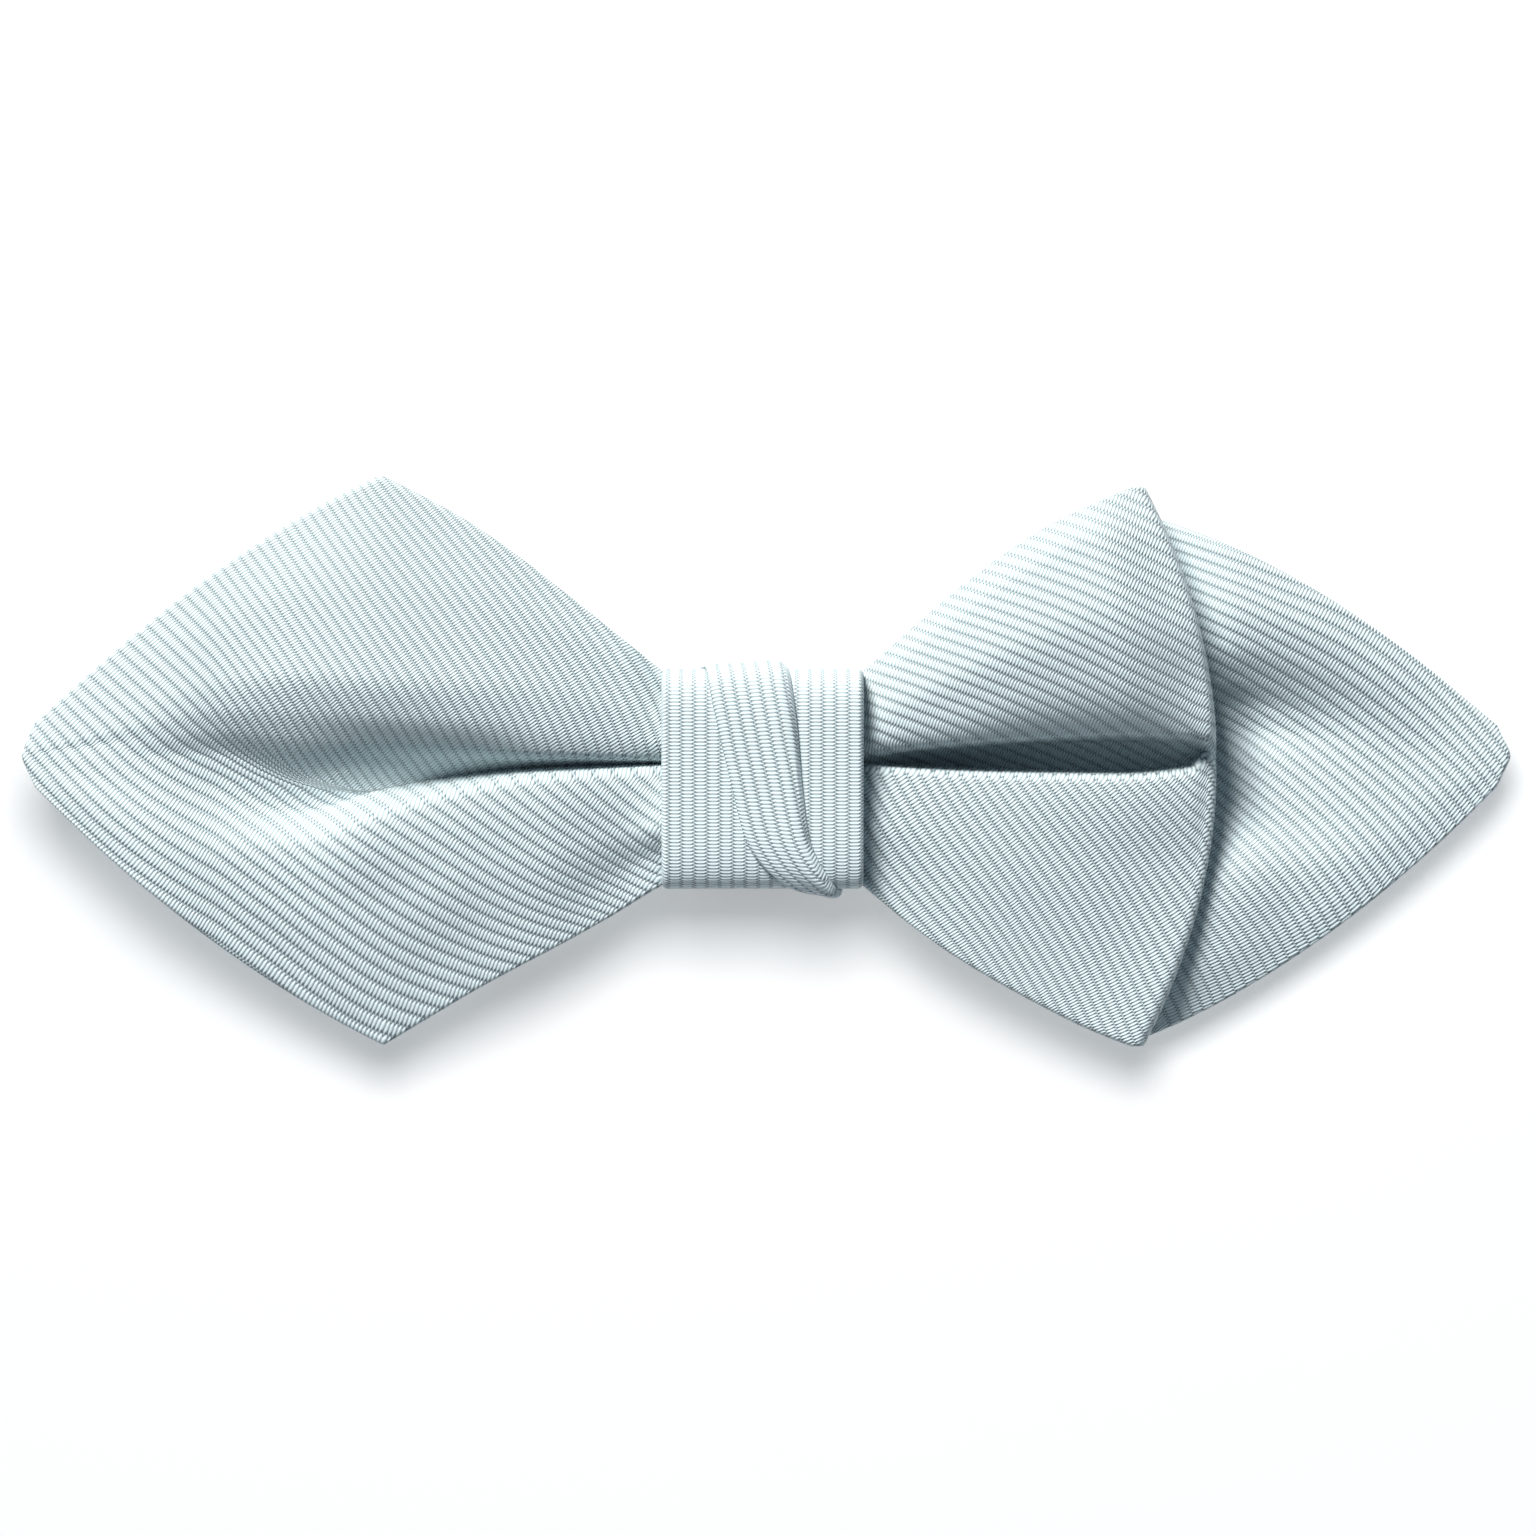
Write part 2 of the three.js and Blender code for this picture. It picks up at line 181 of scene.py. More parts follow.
def math_node(tree, operation, *values):
    node = tree.nodes.new("ShaderNodeMath")
    node.operation = operation
    for socket, value in zip(node.inputs, values):
        put_in(tree, socket, value)
    return node.outputs[0]


def ramp_node(tree, value, start, end, low=0.0, high=1.0):
    """A soft step from low to high while the value goes from start to end."""
    node = tree.nodes.new("ShaderNodeMapRange")
    node.interpolation_type = "SMOOTHSTEP"
    for name, given in zip(("Value", "From Min", "From Max", "To Min", "To Max"),
                           (value, start, end, low, high)):
        put_in(tree, node.inputs[name], given)
    return node.outputs["Result"]


# A Mix node has sockets for every kind of value. These are the ones for colours.
MIX_SHARE, MIX_FIRST, MIX_SECOND, MIX_RESULT = 0, 6, 7, 2


def mix_colour(tree, share, first, second):
    node = tree.nodes.new("ShaderNodeMix")
    node.data_type = "RGBA"
    put_in(tree, node.inputs[MIX_SHARE], share)
    put_in(tree, node.inputs[MIX_FIRST], first)
    put_in(tree, node.inputs[MIX_SECOND], second)
    return node.outputs[MIX_RESULT]


def new_group(name, inputs, outputs):
    group = bpy.data.node_groups.new(name, "ShaderNodeTree")
    for socket_name, kind, value in inputs:
        socket = group.interface.new_socket(socket_name, in_out="INPUT", socket_type=kind)
        if value is not None:
            socket.default_value = value
    for socket_name, kind in outputs:
        group.interface.new_socket(socket_name, in_out="OUTPUT", socket_type=kind)
    return group, group.nodes.new("NodeGroupInput"), group.nodes.new("NodeGroupOutput")


# %% [markdown]
# The weave
#
# The cloth is a faille: thick ribs a little over a millimetre apart, each one wrapped by fine
# threads that cross it. The threads of one rib sit between the threads of the next, like
# bricks, so the groove between two ribs is a fine zigzag. The shade in that groove is painted
# into the colour as a dark dot at every thread, and the shade between two threads as a dark line.
# The pattern reads the cloth's own UV map, which holds millimetres across the ribs and along
# them, so it bends and gathers as the cloth does. An image of the weave would blur when the
# camera comes close, and real threads would need millions of faces.

# %% Measures of the weave
RIB_PITCH = 1.07
KNOT_PITCH = 1.03
THREAD_PITCH = 0.295
ZIGZAG = 0.08  # how far the groove sways, in ribs
GROOVE_WIDTH = 0.17  # half the groove's width, in ribs
CROWN_WIDTH = 0.34  # from the groove to a rib's full height, in ribs
# these set the painted shade: a dark line between two threads, and dark dots in the groove
LINE_END = 0.55  # thread bulge at which the dark line between two threads ends
DOT_START, DOT_END, DOT_LEAST = 0.1, 0.8, 0.5  # thread bulge over which a dot fades, and to what
TURN = 2 * math.pi
FLOAT, VECTOR = "NodeSocketFloat", "NodeSocketVector"


# %% Build the weave group
def build_weave_group():
    group, given, result = new_group(
        "faille_weave",
        [("Cloth Place", VECTOR, None), ("Rib Pitch", FLOAT, RIB_PITCH),
         ("Thread Pitch", FLOAT, THREAD_PITCH), ("Zigzag", FLOAT, ZIGZAG),
         ("Groove Width", FLOAT, GROOVE_WIDTH)],
        [("Height", FLOAT), ("Groove", FLOAT), ("Thread Shade", FLOAT), ("Groove Shade", FLOAT)],
    )
    put = given.outputs
    split = group.nodes.new("ShaderNodeSeparateXYZ")
    group.links.new(put["Cloth Place"], split.inputs[0])
    rib = math_node(group, "DIVIDE", split.outputs["X"], put["Rib Pitch"])
    thread = math_node(group, "DIVIDE", split.outputs["Y"], put["Thread Pitch"])
    # the nearest groove, which sways the other way on every second one
    border = math_node(group, "ROUND", rib)
    odd = math_node(group, "FLOORED_MODULO", border, 2.0)
    sign = math_node(group, "MULTIPLY_ADD", odd, -2.0, 1.0)
    wave = math_node(group, "COSINE", math_node(group, "MULTIPLY", thread, TURN))
    sway = math_node(group, "MULTIPLY", math_node(group, "MULTIPLY", sign, wave), put["Zigzag"])
    apart = math_node(group, "ADD", math_node(group, "SUBTRACT", rib, border), sway)
    near = math_node(group, "ABSOLUTE", apart)
    groove = ramp_node(group, near, 0.0, put["Groove Width"], 1.0, 0.0)
    crown = ramp_node(group, near, 0.0, CROWN_WIDTH)
    # the rib's own number, and its threads half a step along on every second rib
    beyond = math_node(group, "GREATER_THAN", apart, 0.0)
    own_rib = math_node(group, "ADD", math_node(group, "SUBTRACT", border, 1.0), beyond)
    own_odd = math_node(group, "FLOORED_MODULO", own_rib, 2.0)
    own_thread = math_node(group, "MULTIPLY_ADD", own_odd, 0.5, thread)
    turn = math_node(group, "MULTIPLY", own_thread, TURN)
    bulge = math_node(group, "MULTIPLY_ADD", math_node(group, "COSINE", turn), 0.5, 0.5)
    # painted shade masks: a dark line between two threads, and dark dots in the groove
    line = ramp_node(group, bulge, 0.0, LINE_END, 1.0, 0.0)
    dot = ramp_node(group, bulge, DOT_START, DOT_END, 1.0, DOT_LEAST)
    groove_shade = math_node(group, "MULTIPLY", groove, dot)
    thread_height = math_node(group, "MULTIPLY_ADD", math_node(group, "SQRT", bulge), 0.5, 0.5)
    height = math_node(group, "MULTIPLY", crown, thread_height)
    for name, value in (("Height", height), ("Groove", groove), ("Thread Shade", line),
                        ("Groove Shade", groove_shade)):
        group.links.new(value, result.inputs[name])
    return group


weave_group = build_weave_group()
print("weave group nodes:", len(weave_group.nodes))

# %% [markdown]
# The cloth's finish
#
# The yarn is a pale ice blue with a soft satin sheen. Base colour, roughness and relief come
# from the weave, and a little noise makes some threads paler than others. The base colour also
# holds painted shade: a near-black in the grooves between the ribs and a dark line between two
# threads. A coat would be too glossy for ribbed silk, so a rough surface gets a weak sheen. The
# knot's cloth is pulled tighter, so its ribs lie a little closer and its threads show less, with
# weaker painted shade between them.

# %% Make the cloth materials
CLOTH_COLOUR = (0.668, 0.765, 0.779, 1)
# painted shade: near-black in the grooves between ribs, dark blue-grey between two threads
GROOVE_SHADE_COLOUR = (0.045, 0.08, 0.10, 1)
THREAD_SHADE_COLOUR = (0.26, 0.35, 0.38, 1)
PALE_YARN = (0.86, 0.93, 0.95, 1)
PALE_SHARE = 0.14
PALE_START, PALE_END = 0.3, 0.75  # noise between which the yarn turns paler
YARN_ROUGHNESS = 0.6
GROOVE_ROUGHER = 0.25
# how strongly the painted groove shade darkens the yarn
GROOVE_SHADE_SHARE = 0.95
RIB_DEPTH = 0.00015


def make_cloth(name, rib_pitch, thread_shade_share, bump):
    material = bpy.data.materials.new(name)
    material.use_nodes = True
    tree = material.node_tree
    shader = tree.nodes["Principled BSDF"]
    place = tree.nodes.new("ShaderNodeUVMap")
    place.uv_map = "cloth"
    weave = tree.nodes.new("ShaderNodeGroup")
    weave.node_tree = weave_group
    weave.inputs["Rib Pitch"].default_value = rib_pitch
    tree.links.new(place.outputs["UV"], weave.inputs["Cloth Place"])
    noise = tree.nodes.new("ShaderNodeTexNoise")
    set_inputs(noise, {"Scale": 3.0, "Detail": 3.0})
    tree.links.new(place.outputs["UV"], noise.inputs["Vector"])
    paler = ramp_node(tree, noise.outputs["Fac"], PALE_START, PALE_END, 0.0, PALE_SHARE)
    yarn = mix_colour(tree, paler, CLOTH_COLOUR, PALE_YARN)
    # painted shade into the base colour: lines between threads, then dots in the grooves
    lines = math_node(tree, "MULTIPLY", weave.outputs["Thread Shade"], thread_shade_share)
    lined = mix_colour(tree, lines, yarn, THREAD_SHADE_COLOUR)
    dark = math_node(tree, "MULTIPLY", weave.outputs["Groove Shade"], GROOVE_SHADE_SHARE)
    tree.links.new(mix_colour(tree, dark, lined, GROOVE_SHADE_COLOUR), shader.inputs["Base Color"])
    rough = math_node(
        tree, "MULTIPLY_ADD", weave.outputs["Groove"], GROOVE_ROUGHER, YARN_ROUGHNESS
    )
    tree.links.new(rough, shader.inputs["Roughness"])
    bump_node = tree.nodes.new("ShaderNodeBump")
    set_inputs(bump_node, {"Strength": bump, "Distance": RIB_DEPTH})
    tree.links.new(weave.outputs["Height"], bump_node.inputs["Height"])
    tree.links.new(bump_node.outputs["Normal"], shader.inputs["Normal"])
    set_inputs(shader, {"Specular IOR Level": 0.22, "Sheen Weight": 0.15, "Sheen Roughness": 0.4})
    return material


wing_cloth = make_cloth("wing_faille", rib_pitch=RIB_PITCH, thread_shade_share=0.7, bump=0.75)
knot_cloth = make_cloth("knot_faille", rib_pitch=KNOT_PITCH, thread_shade_share=0.4, bump=0.55)
print("cloths:", wing_cloth.name, "and", knot_cloth.name)

# %% [markdown]
# The sections of the wings
#
# The cloth that shows is described as a shipwright describes a hull. Each row is a section
# across a leaf, at a distance from the middle of the tie in millimetres, and holds the height
# of the cloth at named places from its top edge to its bottom edge. Between the two edges each
# place has a pair of numbers: how far up the leaf it lies, and how high the cloth is there. The
# places are the upper lobe, the brow where it starts to fall, its slope and foot, the wall and
# the valley of the fold, and the crest, the lower lobe and its hem. A cloth simulation would
# find folds of its own, and not the photograph's.

# %% Sections of the leaves that show
# Columns: x; height at the top edge; y and height of the upper lobe, brow, slope, foot, wall,
# valley, crest, lower lobe and hem; height at the bottom edge.
# A leaf starts inside the knot with the same section as at its mouth.
LEFT_MOUTH = [12.6, 5.0, 14.2, 3.5, 14.8, 2.2, 14.8, 1.2, 14.2, 0.8, 12.6, 0.2, 11.0,
              -0.6, 14.2, -4.5, 14.4, -7.0, 12.8, 11.8]
FRONT_BLADE = [
    [0.0, *LEFT_MOUTH],
    [8.2, *LEFT_MOUTH],
    [11.9, 15.1, 8.0, 15.8, 5.0, 15.9, 2.9, 15.6, 1.3, 14.9, 0.8, 12.8, 0.15, 10.8,
     -0.75, 14.5, -5.0, 13.6, -8.5, 11.8, 10.9],
    [18.3, 17.1, 11.0, 17.7, 6.8, 17.7, 3.8, 17.2, 1.6, 16.0, 0.8, 13.2, -0.05, 10.9,
     -1.2, 15.2, -6.5, 14.2, -12.0, 12.3, 11.2],
    [24.8, 18.2, 13.0, 18.8, 7.2, 18.8, 4.2, 17.9, 2.0, 15.7, 0.8, 12.9, -0.8, 11.0,
     -2.3, 15.2, -8.0, 14.2, -15.0, 11.6, 10.2],
    [31.2, 18.6, 14.0, 19.2, 7.4, 19.1, 4.6, 18.0, 2.4, 15.7, 0.8, 13.2, -1.9, 11.4,
     -4.2, 14.9, -11.0, 12.9, -18.0, 10.2, 8.6],
    [37.6, 17.6, 13.0, 18.4, 7.8, 18.4, 5.0, 17.4, 2.8, 15.8, -1.0, 12.0, -3.4, 11.3,
     -6.4, 13.2, -11.0, 12.4, -16.0, 10.7, 9.7],
    [44.1, 16.4, 11.0, 16.8, 7.2, 16.7, 5.0, 16.2, 3.4, 15.3, 1.0, 13.5, -2.2, 12.8,
     -6.5, 13.3, -9.0, 12.9, -12.0, 12.1, 11.4],
    [50.5, 14.6, 7.5, 14.8, 5.0, 14.8, 3.6, 14.7, 2.2, 14.3, 0.8, 14.0, -1.5, 13.9,
     -4.0, 14.0, -6.0, 13.8, -7.8, 13.4, 13.0],
    [60.0, 12.2, 1.9, 12.2, 1.5, 12.2, 1.2, 12.2, 1.0, 12.2, 0.8, 12.2, 0.6, 12.2,
     0.3, 12.2, 0.0, 12.2, -0.3, 12.2, 12.2],
]
RIGHT_MOUTH = [12.6, 5.0, 14.2, 3.6, 14.8, 2.4, 14.7, 1.5, 14.1, 1.0, 12.4, 0.3, 10.6,
               -0.4, 13.4, -4.5, 13.2, -7.0, 12.2, 11.4]
RIGHT_LOOP_FRONT = [
    [0.0, *RIGHT_MOUTH],
    [7.4, *RIGHT_MOUTH],
    [10.6, 14.6, 8.0, 15.8, 5.4, 16.1, 3.4, 15.7, 1.9, 14.8, 1.4, 11.4, 0.0, 9.0,
     -0.5, 13.3, -4.5, 13.0, -8.5, 11.9, 11.0],
    [15.4, 15.6, 11.5, 17.3, 8.0, 17.7, 5.2, 17.0, 2.4, 15.4, 1.8, 10.6, -0.2, 7.8,
     -0.75, 13.2, -5.0, 12.8, -11.0, 11.7, 10.8],
    [21.9, 16.8, 15.5, 18.8, 11.0, 19.3, 7.0, 18.2, 2.8, 15.1, 2.2, 8.9, -0.45, 7.4,
     -0.95, 13.1, -7.0, 12.3, -14.0, 10.9, 10.2],
    [28.3, 17.4, 18.0, 19.5, 13.0, 20.0, 7.8, 18.6, 3.1, 15.0, 2.4, 8.7, -0.55, 7.4,
     -1.05, 12.7, -8.0, 11.4, -16.0, 10.1, 9.6],
    [34.0, 16.2, 18.0, 17.2, 12.0, 17.2, 7.0, 15.8, 2.9, 14.2, 2.2, 10.8, 0.0, 8.6,
     -0.5, 11.6, -8.0, 10.3, -16.0, 9.7, 9.3],
    [35.2, 16.0, 18.0, 16.7, 12.0, 16.5, 7.0, 15.2, 2.5, 13.9, 2.0, 11.0, 1.1, 9.0,
     0.6, 11.0, -8.0, 10.0, -16.0, 9.6, 9.2],
]
REAR_BLADE = [
    [0.0, 8.6, 5.2, 7.7, 4.2, 7.0, 3.2, 6.7, 2.4, 6.8, 1.6, 6.8, 0.3, 6.8,
     -1.5, 6.8, -4.0, 6.2, -6.5, 7.2, 8.5],
    [7.8, 8.4, 5.2, 7.6, 4.2, 7.0, 3.2, 6.7, 2.4, 6.6, 1.6, 6.5, 0.3, 6.5,
     -1.5, 6.6, -4.0, 6.2, -6.5, 7.0, 8.2],
    [12.0, 5.8, 8.0, 5.8, 6.0, 5.6, 4.5, 5.4, 3.0, 5.2, 2.0, 5.0, 1.0, 4.9,
     -2.0, 5.0, -5.0, 4.8, -8.5, 4.2, 3.8],
    [20.0, 6.9, 12.0, 6.9, 8.0, 6.5, 5.0, 5.7, 3.0, 4.9, 2.0, 4.6, 1.0, 4.5,
     -3.0, 5.4, -8.0, 5.6, -14.0, 4.8, 3.8],
    [31.0, 7.8, 14.0, 7.9, 10.0, 7.4, 7.0, 6.4, 4.6, 5.3, 3.0, 4.8, 1.0, 4.7,
     -4.0, 6.6, -10.0, 7.5, -17.0, 6.9, 5.4],
    [38.0, 10.2, 13.0, 10.6, 10.2, 9.9, 7.4, 7.8, 5.0, 5.5, 3.0, 4.8, 0.6, 5.5,
     -4.0, 5.9, -9.0, 7.2, -14.0, 6.4, 5.0],
    [42.8, 9.8, 12.0, 10.1, 9.0, 9.2, 6.4, 7.5, 4.4, 6.2, 2.6, 5.7, 0.3, 5.9,
     -4.0, 6.0, -8.0, 6.5, -12.0, 5.9, 5.0],
    [49.2, 8.3, 8.5, 8.4, 6.5, 8.0, 4.6, 7.3, 3.0, 6.8, 1.6, 6.6, 0.0, 6.5,
     -3.0, 6.4, -6.0, 6.3, -8.5, 5.9, 5.4],
    [54.9, 6.8, 5.0, 6.8, 4.0, 6.75, 2.8, 6.7, 2.0, 6.65, 1.2, 6.6, 0.0, 6.55,
     -1.5, 6.5, -3.0, 6.3, -4.2, 6.1, 5.8],
    [60.0, 6.2, 1.9, 6.2, 1.5, 6.2, 1.2, 6.2, 1.0, 6.2, 0.8, 6.2, 0.6, 6.2,
     0.3, 6.2, 0.0, 6.2, -0.3, 6.2, 6.2],
]

# %% [markdown]
# The leaves that hardly show
#
# The back of the right loop and the whole left loop are hidden in the photograph. Their shape
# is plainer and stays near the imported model's: lobes that stand up, edges that fall away and a
# soft fold. The heights are shares of the wing's rise, and the widths of the fold's two sides
# are shares of the wing's height.

# %% Folds of the hidden leaves
WING_RISE = 20
CORNER_HEIGHT = 22.9
COLUMNS = ["along", "rise", "top_drop", "bottom_drop", "crease", "mouth_up", "mouth_down"]
RIGHT_LOOP_REAR = [
    [0.0, 0.57, 0.05, 0.08, 0.13, 0.11, 0.11],
    [0.24, 0.56, 0.05, 0.08, 0.14, 0.12, 0.12],
    [0.5, 0.52, 0.06, 0.16, 0.22, 0.17, 0.17],
    [0.93, 0.46, 0.04, 0.12, 0.14, 0.17, 0.17],
    [1.0, 0.45, 0.03, 0.1, 0.11, 0.13, 0.13],
]
LEFT_LOOP_FRONT = [
    [0.0, 0.57, 0.05, 0.05, 0.11, 0.11, 0.11],
    [0.245, 0.56, 0.05, 0.05, 0.11, 0.12, 0.12],
    [0.55, 0.56, 0.1, 0.25, 0.14, 0.17, 0.17],
    [0.8, 0.54, 0.1, 0.26, 0.11, 0.17, 0.17],
    [1.0, 0.42, 0.05, 0.1, 0.04, 0.12, 0.12],
]
LEFT_LOOP_REAR = [
    [0.0, 0.3, -0.13, -0.13, -0.075, 0.12, 0.12],
    [0.26, 0.3, -0.13, -0.13, -0.075, 0.12, 0.12],
    [0.3, 0.29, -0.1, -0.1, -0.08, 0.13, 0.13],
    [0.55, 0.15, 0.04, 0.04, -0.07, 0.2, 0.2],
    [0.8, 0.16, 0.06, 0.07, -0.03, 0.2, 0.2],
    [1.0, 0.3, 0.05, 0.07, 0.04, 0.12, 0.12],
]


# %% [markdown]
# Between the rows
#
# Cloth has no corners where a table has rows, so a smooth curve runs through them. A plain
# spline would swing past its values and leave waves beside a steep wall. This one never does.


# %% Read a table between its rows
def smooth_through(at, values, places):
    """A smooth curve through the values that never overshoots them."""
    at, values = np.asarray(at, float), np.asarray(values, float)
    spans = np.diff(at)
    slopes = np.diff(values) / spans
    product = slopes[:-1] * slopes[1:]
    total = slopes[:-1] + slopes[1:]
    inner = np.where(product > 0, 2 * product / np.where(total == 0, 1, total), 0)
    tangents = np.concatenate([slopes[:1], inner, slopes[-1:]])
    i = np.clip(np.searchsorted(at, places, side="left") - 1, 0, len(spans) - 1)
    t = np.clip((places - at[i]) / spans[i], 0, 1)
    rest = 1 - t
    return (rest * rest * (1 + 2 * t) * values[i] + t * t * (3 - 2 * t) * values[i + 1]
            + spans[i] * t * rest * (rest * tangents[i] - t * tangents[i + 1]))


def table_value(table, column, places):
    """A column of a hidden leaf's table, at shares of the way along it."""
    rows = np.array(table, float)
    return smooth_through(rows[:, 0], rows[:, COLUMNS.index(column)], places)


def section_heights(sections, x, y, top, bottom):
    """Heights over rows of places y, where each row lies at its own x."""
    table = np.array(sections)
    columns = [smooth_through(table[:, 0], table[:, k], x) for k in range(1, table.shape[1])]
    heights = np.empty(y.shape)
    for i in range(len(y)):
        row = [column[i] for column in columns]
        # from the bottom edge up
        places = [bottom[i]] + row[-3:0:-2] + [top[i]]
        levels = [row[-1]] + row[-2:1:-2] + [row[0]]
        heights[i] = smooth_through(places, levels, y[i])
    return heights


def smooth_step(x, start, end):
    """A soft step from 0 to 1 while x goes from start to end."""
    t = np.clip((x - start) / (end - start), 0, 1)
    return t * t * (3 - 2 * t)


# %% [markdown]
# The outline of a wing
#
# A wing opens from the mouth of the knot to its corner and then narrows to the point. Each
# stretch of the edge bulges a little beyond a straight line, by a share of its own rise. A
# traced curve would fit too, but a corner and a bulge are easier to change.

# %% Outline of the wings
KNOT_WIDTH = 16.2
HOLLOW_HALF_HEIGHT = 7.85
WAIST_HALF_HEIGHT = 7.1
MOUTH_FLARE = 1.4
FLARE_START, FLARE_END = 0.96, 1.04  # in shares of the mouth's place
TIP_HALF_WIDTH = 1.4
TIP_HEIGHT = 0.9
CREASE_LINE = 0.3
EDGE_DROP_POWER = 2.2


def mouth_at(side):
    return KNOT_WIDTH / 2 + side * KNOT_OFFSET


def wing_edge(x, mouth, edge):
    """How far an edge lies from the leaf's middle line."""
    waist = WAIST_HALF_HEIGHT + MOUTH_FLARE * smooth_step(x, FLARE_START * mouth, FLARE_END * mouth)
    corner_at, height, inner_bulge = edge[:3]
    t = np.clip((x - mouth) / (corner_at - mouth), 0, 1)
    half = waist + (height - waist) * (t + inner_bulge * t * (1 - t))
    if len(edge) > 3:
        outer_bulge, end_at = edge[3:]
        s = np.clip((end_at - x) / (end_at - corner_at), 0, 1)
        outer = TIP_HALF_WIDTH + (height - TIP_HALF_WIDTH) * (s + outer_bulge * s * (1 - s))
        half = np.where(x > corner_at, outer, half)
    return half


# %% [markdown]
# The six leaves
#
# The strip is laid in a Z, so there are two blades that end in points, and two loops of two
# leaves each. A leaf knows its side, its reach, its table, its two edges and how far its fold
# bows outwards, and a leaf that shows also knows its tables of ribs.

# %% List the leaves
BLADE_REACH = 60
RIGHT_REACH, LEFT_REACH = 36.3, 33
FOLD_REACH = 0.6
CLOTH_WALL = 1.0
RIGHT_END = RIGHT_REACH - FOLD_REACH - CLOTH_WALL / 2
LEFT_END = LEFT_REACH - FOLD_REACH - CLOTH_WALL / 2
# An edge: the corner's x, its height and the bulge before it, and on a blade also the bulge
# after the corner and the x of the point.
RIGHT_EDGES = (30.4, CORNER_HEIGHT, 0.42), (30.4, CORNER_HEIGHT, 0.5)
LEFT_EDGES = (27, 21, 0.2), (26, 18.6, 0)


def leaf(side, reach, folds, top, bottom, bow=0.0, weave=None):
    return {"side": side, "reach": reach, "folds": folds, "top": top, "bottom": bottom,
            "bow": bow, "weave": weave}


front_blade = leaf(-1, BLADE_REACH, FRONT_BLADE,
                   (31, CORNER_HEIGHT, 0.3, 0.36, BLADE_REACH),
                   (31, CORNER_HEIGHT, 0.05, 0.36, BLADE_REACH), weave="left")
rear_blade = leaf(1, BLADE_REACH, REAR_BLADE,
                  (26.5, 21, 0.3, 0.6, BLADE_REACH),
                  (29, CORNER_HEIGHT, 0.3, 0.48, BLADE_REACH), weave="blade")
right_front = leaf(1, RIGHT_END, RIGHT_LOOP_FRONT, *RIGHT_EDGES, bow=5.9, weave="loop")
right_rear = leaf(1, RIGHT_END, RIGHT_LOOP_REAR, *RIGHT_EDGES, bow=5.9)
left_front = leaf(-1, LEFT_END, LEFT_LOOP_FRONT, *LEFT_EDGES, bow=6)
left_rear = leaf(-1, LEFT_END, LEFT_LOOP_REAR, *LEFT_EDGES, bow=6)
print("loops end at", round(RIGHT_END, 1), "and", round(LEFT_END, 1), "mm")


# %% [markdown]
# The surface of a leaf
#
# A leaf is a height over the table: the lobes stand up, the edges fall away and the middle
# fold is pressed in. It could be sculpted from a plane, but a height that is read from a table
# can be mended at one place without touching the rest.

# %% Surface of a leaf
TIP_ROUND = 1.1  # how far the corners of a point are cut back
TIP_SHARPNESS = 14  # how near to the point that starts
MIDDLE_FREE = 3  # mouths out, where the middle line no longer follows the knot


def leaf_points(piece, along, across):
    """Points at shares along a leaf, and from -1 at its lower edge to 1 at its upper."""
    side, reach, bow = piece["side"], piece["reach"], piece["bow"]
    x = along * reach - bow * across**2 * along**3
    if not bow:
        x = x - TIP_ROUND * across**2 * along**TIP_SHARPNESS
    mouth = mouth_at(side)
    edge_x = along * reach - bow * along**3 if bow else x
    half_up = wing_edge(edge_x, mouth, piece["top"])
    half_down = wing_edge(edge_x, mouth, piece["bottom"])
    out = smooth_step(x, mouth, MIDDLE_FREE * mouth)
    middle = KNOT_MIDDLE + ((0 if bow else TIP_HEIGHT * along) - KNOT_MIDDLE) * out
    y = middle + across * np.where(across >= 0, half_up, half_down)
    if piece["weave"]:
        top = (middle + half_up).max(axis=1)
        bottom = (middle - half_down).min(axis=1)
        z = section_heights(piece["folds"], along[:, 0] * reach, y, top, bottom)
        return np.stack([side * x, y, z], axis=-1)

    def value(column):
        return table_value(piece["folds"], column, along)

    drop = WING_RISE * np.where(across >= 0, value("top_drop"), value("bottom_drop"))
    drop = drop * np.abs(across) ** EDGE_DROP_POWER
    up = y >= CREASE_LINE
    mouth_of_fold = CORNER_HEIGHT * np.where(up, value("mouth_up"), value("mouth_down"))
    pinch = np.exp(-(((y - CREASE_LINE) / mouth_of_fold) ** 2))
    z = WING_RISE * (value("rise") - value("crease") * pinch) - drop
    return np.stack([side * x, y, z], axis=-1)


# %% [markdown]
# From a surface to cloth
#
# The cloth has a wall of about one millimetre. Both faces are laid half a wall from the middle
# surface and meet in a rounded rim, as a turned edge does. A Solidify modifier would give a
# wall too, but with square edges. The rear face, which is seen less, has half as many points
# each way. The ribs are real relief on both faces, so they show on the edge of a fold too, and
# fade where the cloth is steep, as the light would make stripes of them there. The columns are
# spread evenly, because a rib needs five or six points across it to look round.

# %% Spread the columns over the cloth
RIB_RELIEF = 0.05
RIB_FLATNESS = 0.35  # the lower it is, the flatter are the ribs' tops
RIB_MEAN = 0.6  # the height over which a rib's relief goes up and down
FADE_GAIN, FADE_LOSS = 2.5, 1.4  # full relief on level cloth, none where it is steep


def rib_shape(across, pitch):
    """A rib's profile: 0 in the grooves and 1 on a broad top."""
    return (0.5 - 0.5 * np.cos(TURN * across / pitch)) ** RIB_FLATNESS


def spread_evenly(points_of, count, fine=400):
    """Shares from -1 to 1 that lie evenly over the cloth, one list for each row."""
    across = np.linspace(-1, 1, fine)
    points = points_of(across)
    steps = np.linalg.norm(np.diff(points, axis=1), axis=2)
    length = np.concatenate([np.zeros((len(points), 1)), np.cumsum(steps, axis=1)], axis=1)
    wanted = np.linspace(0, 1, count)
    return np.stack([np.interp(wanted * row[-1], row, across) for row in length])


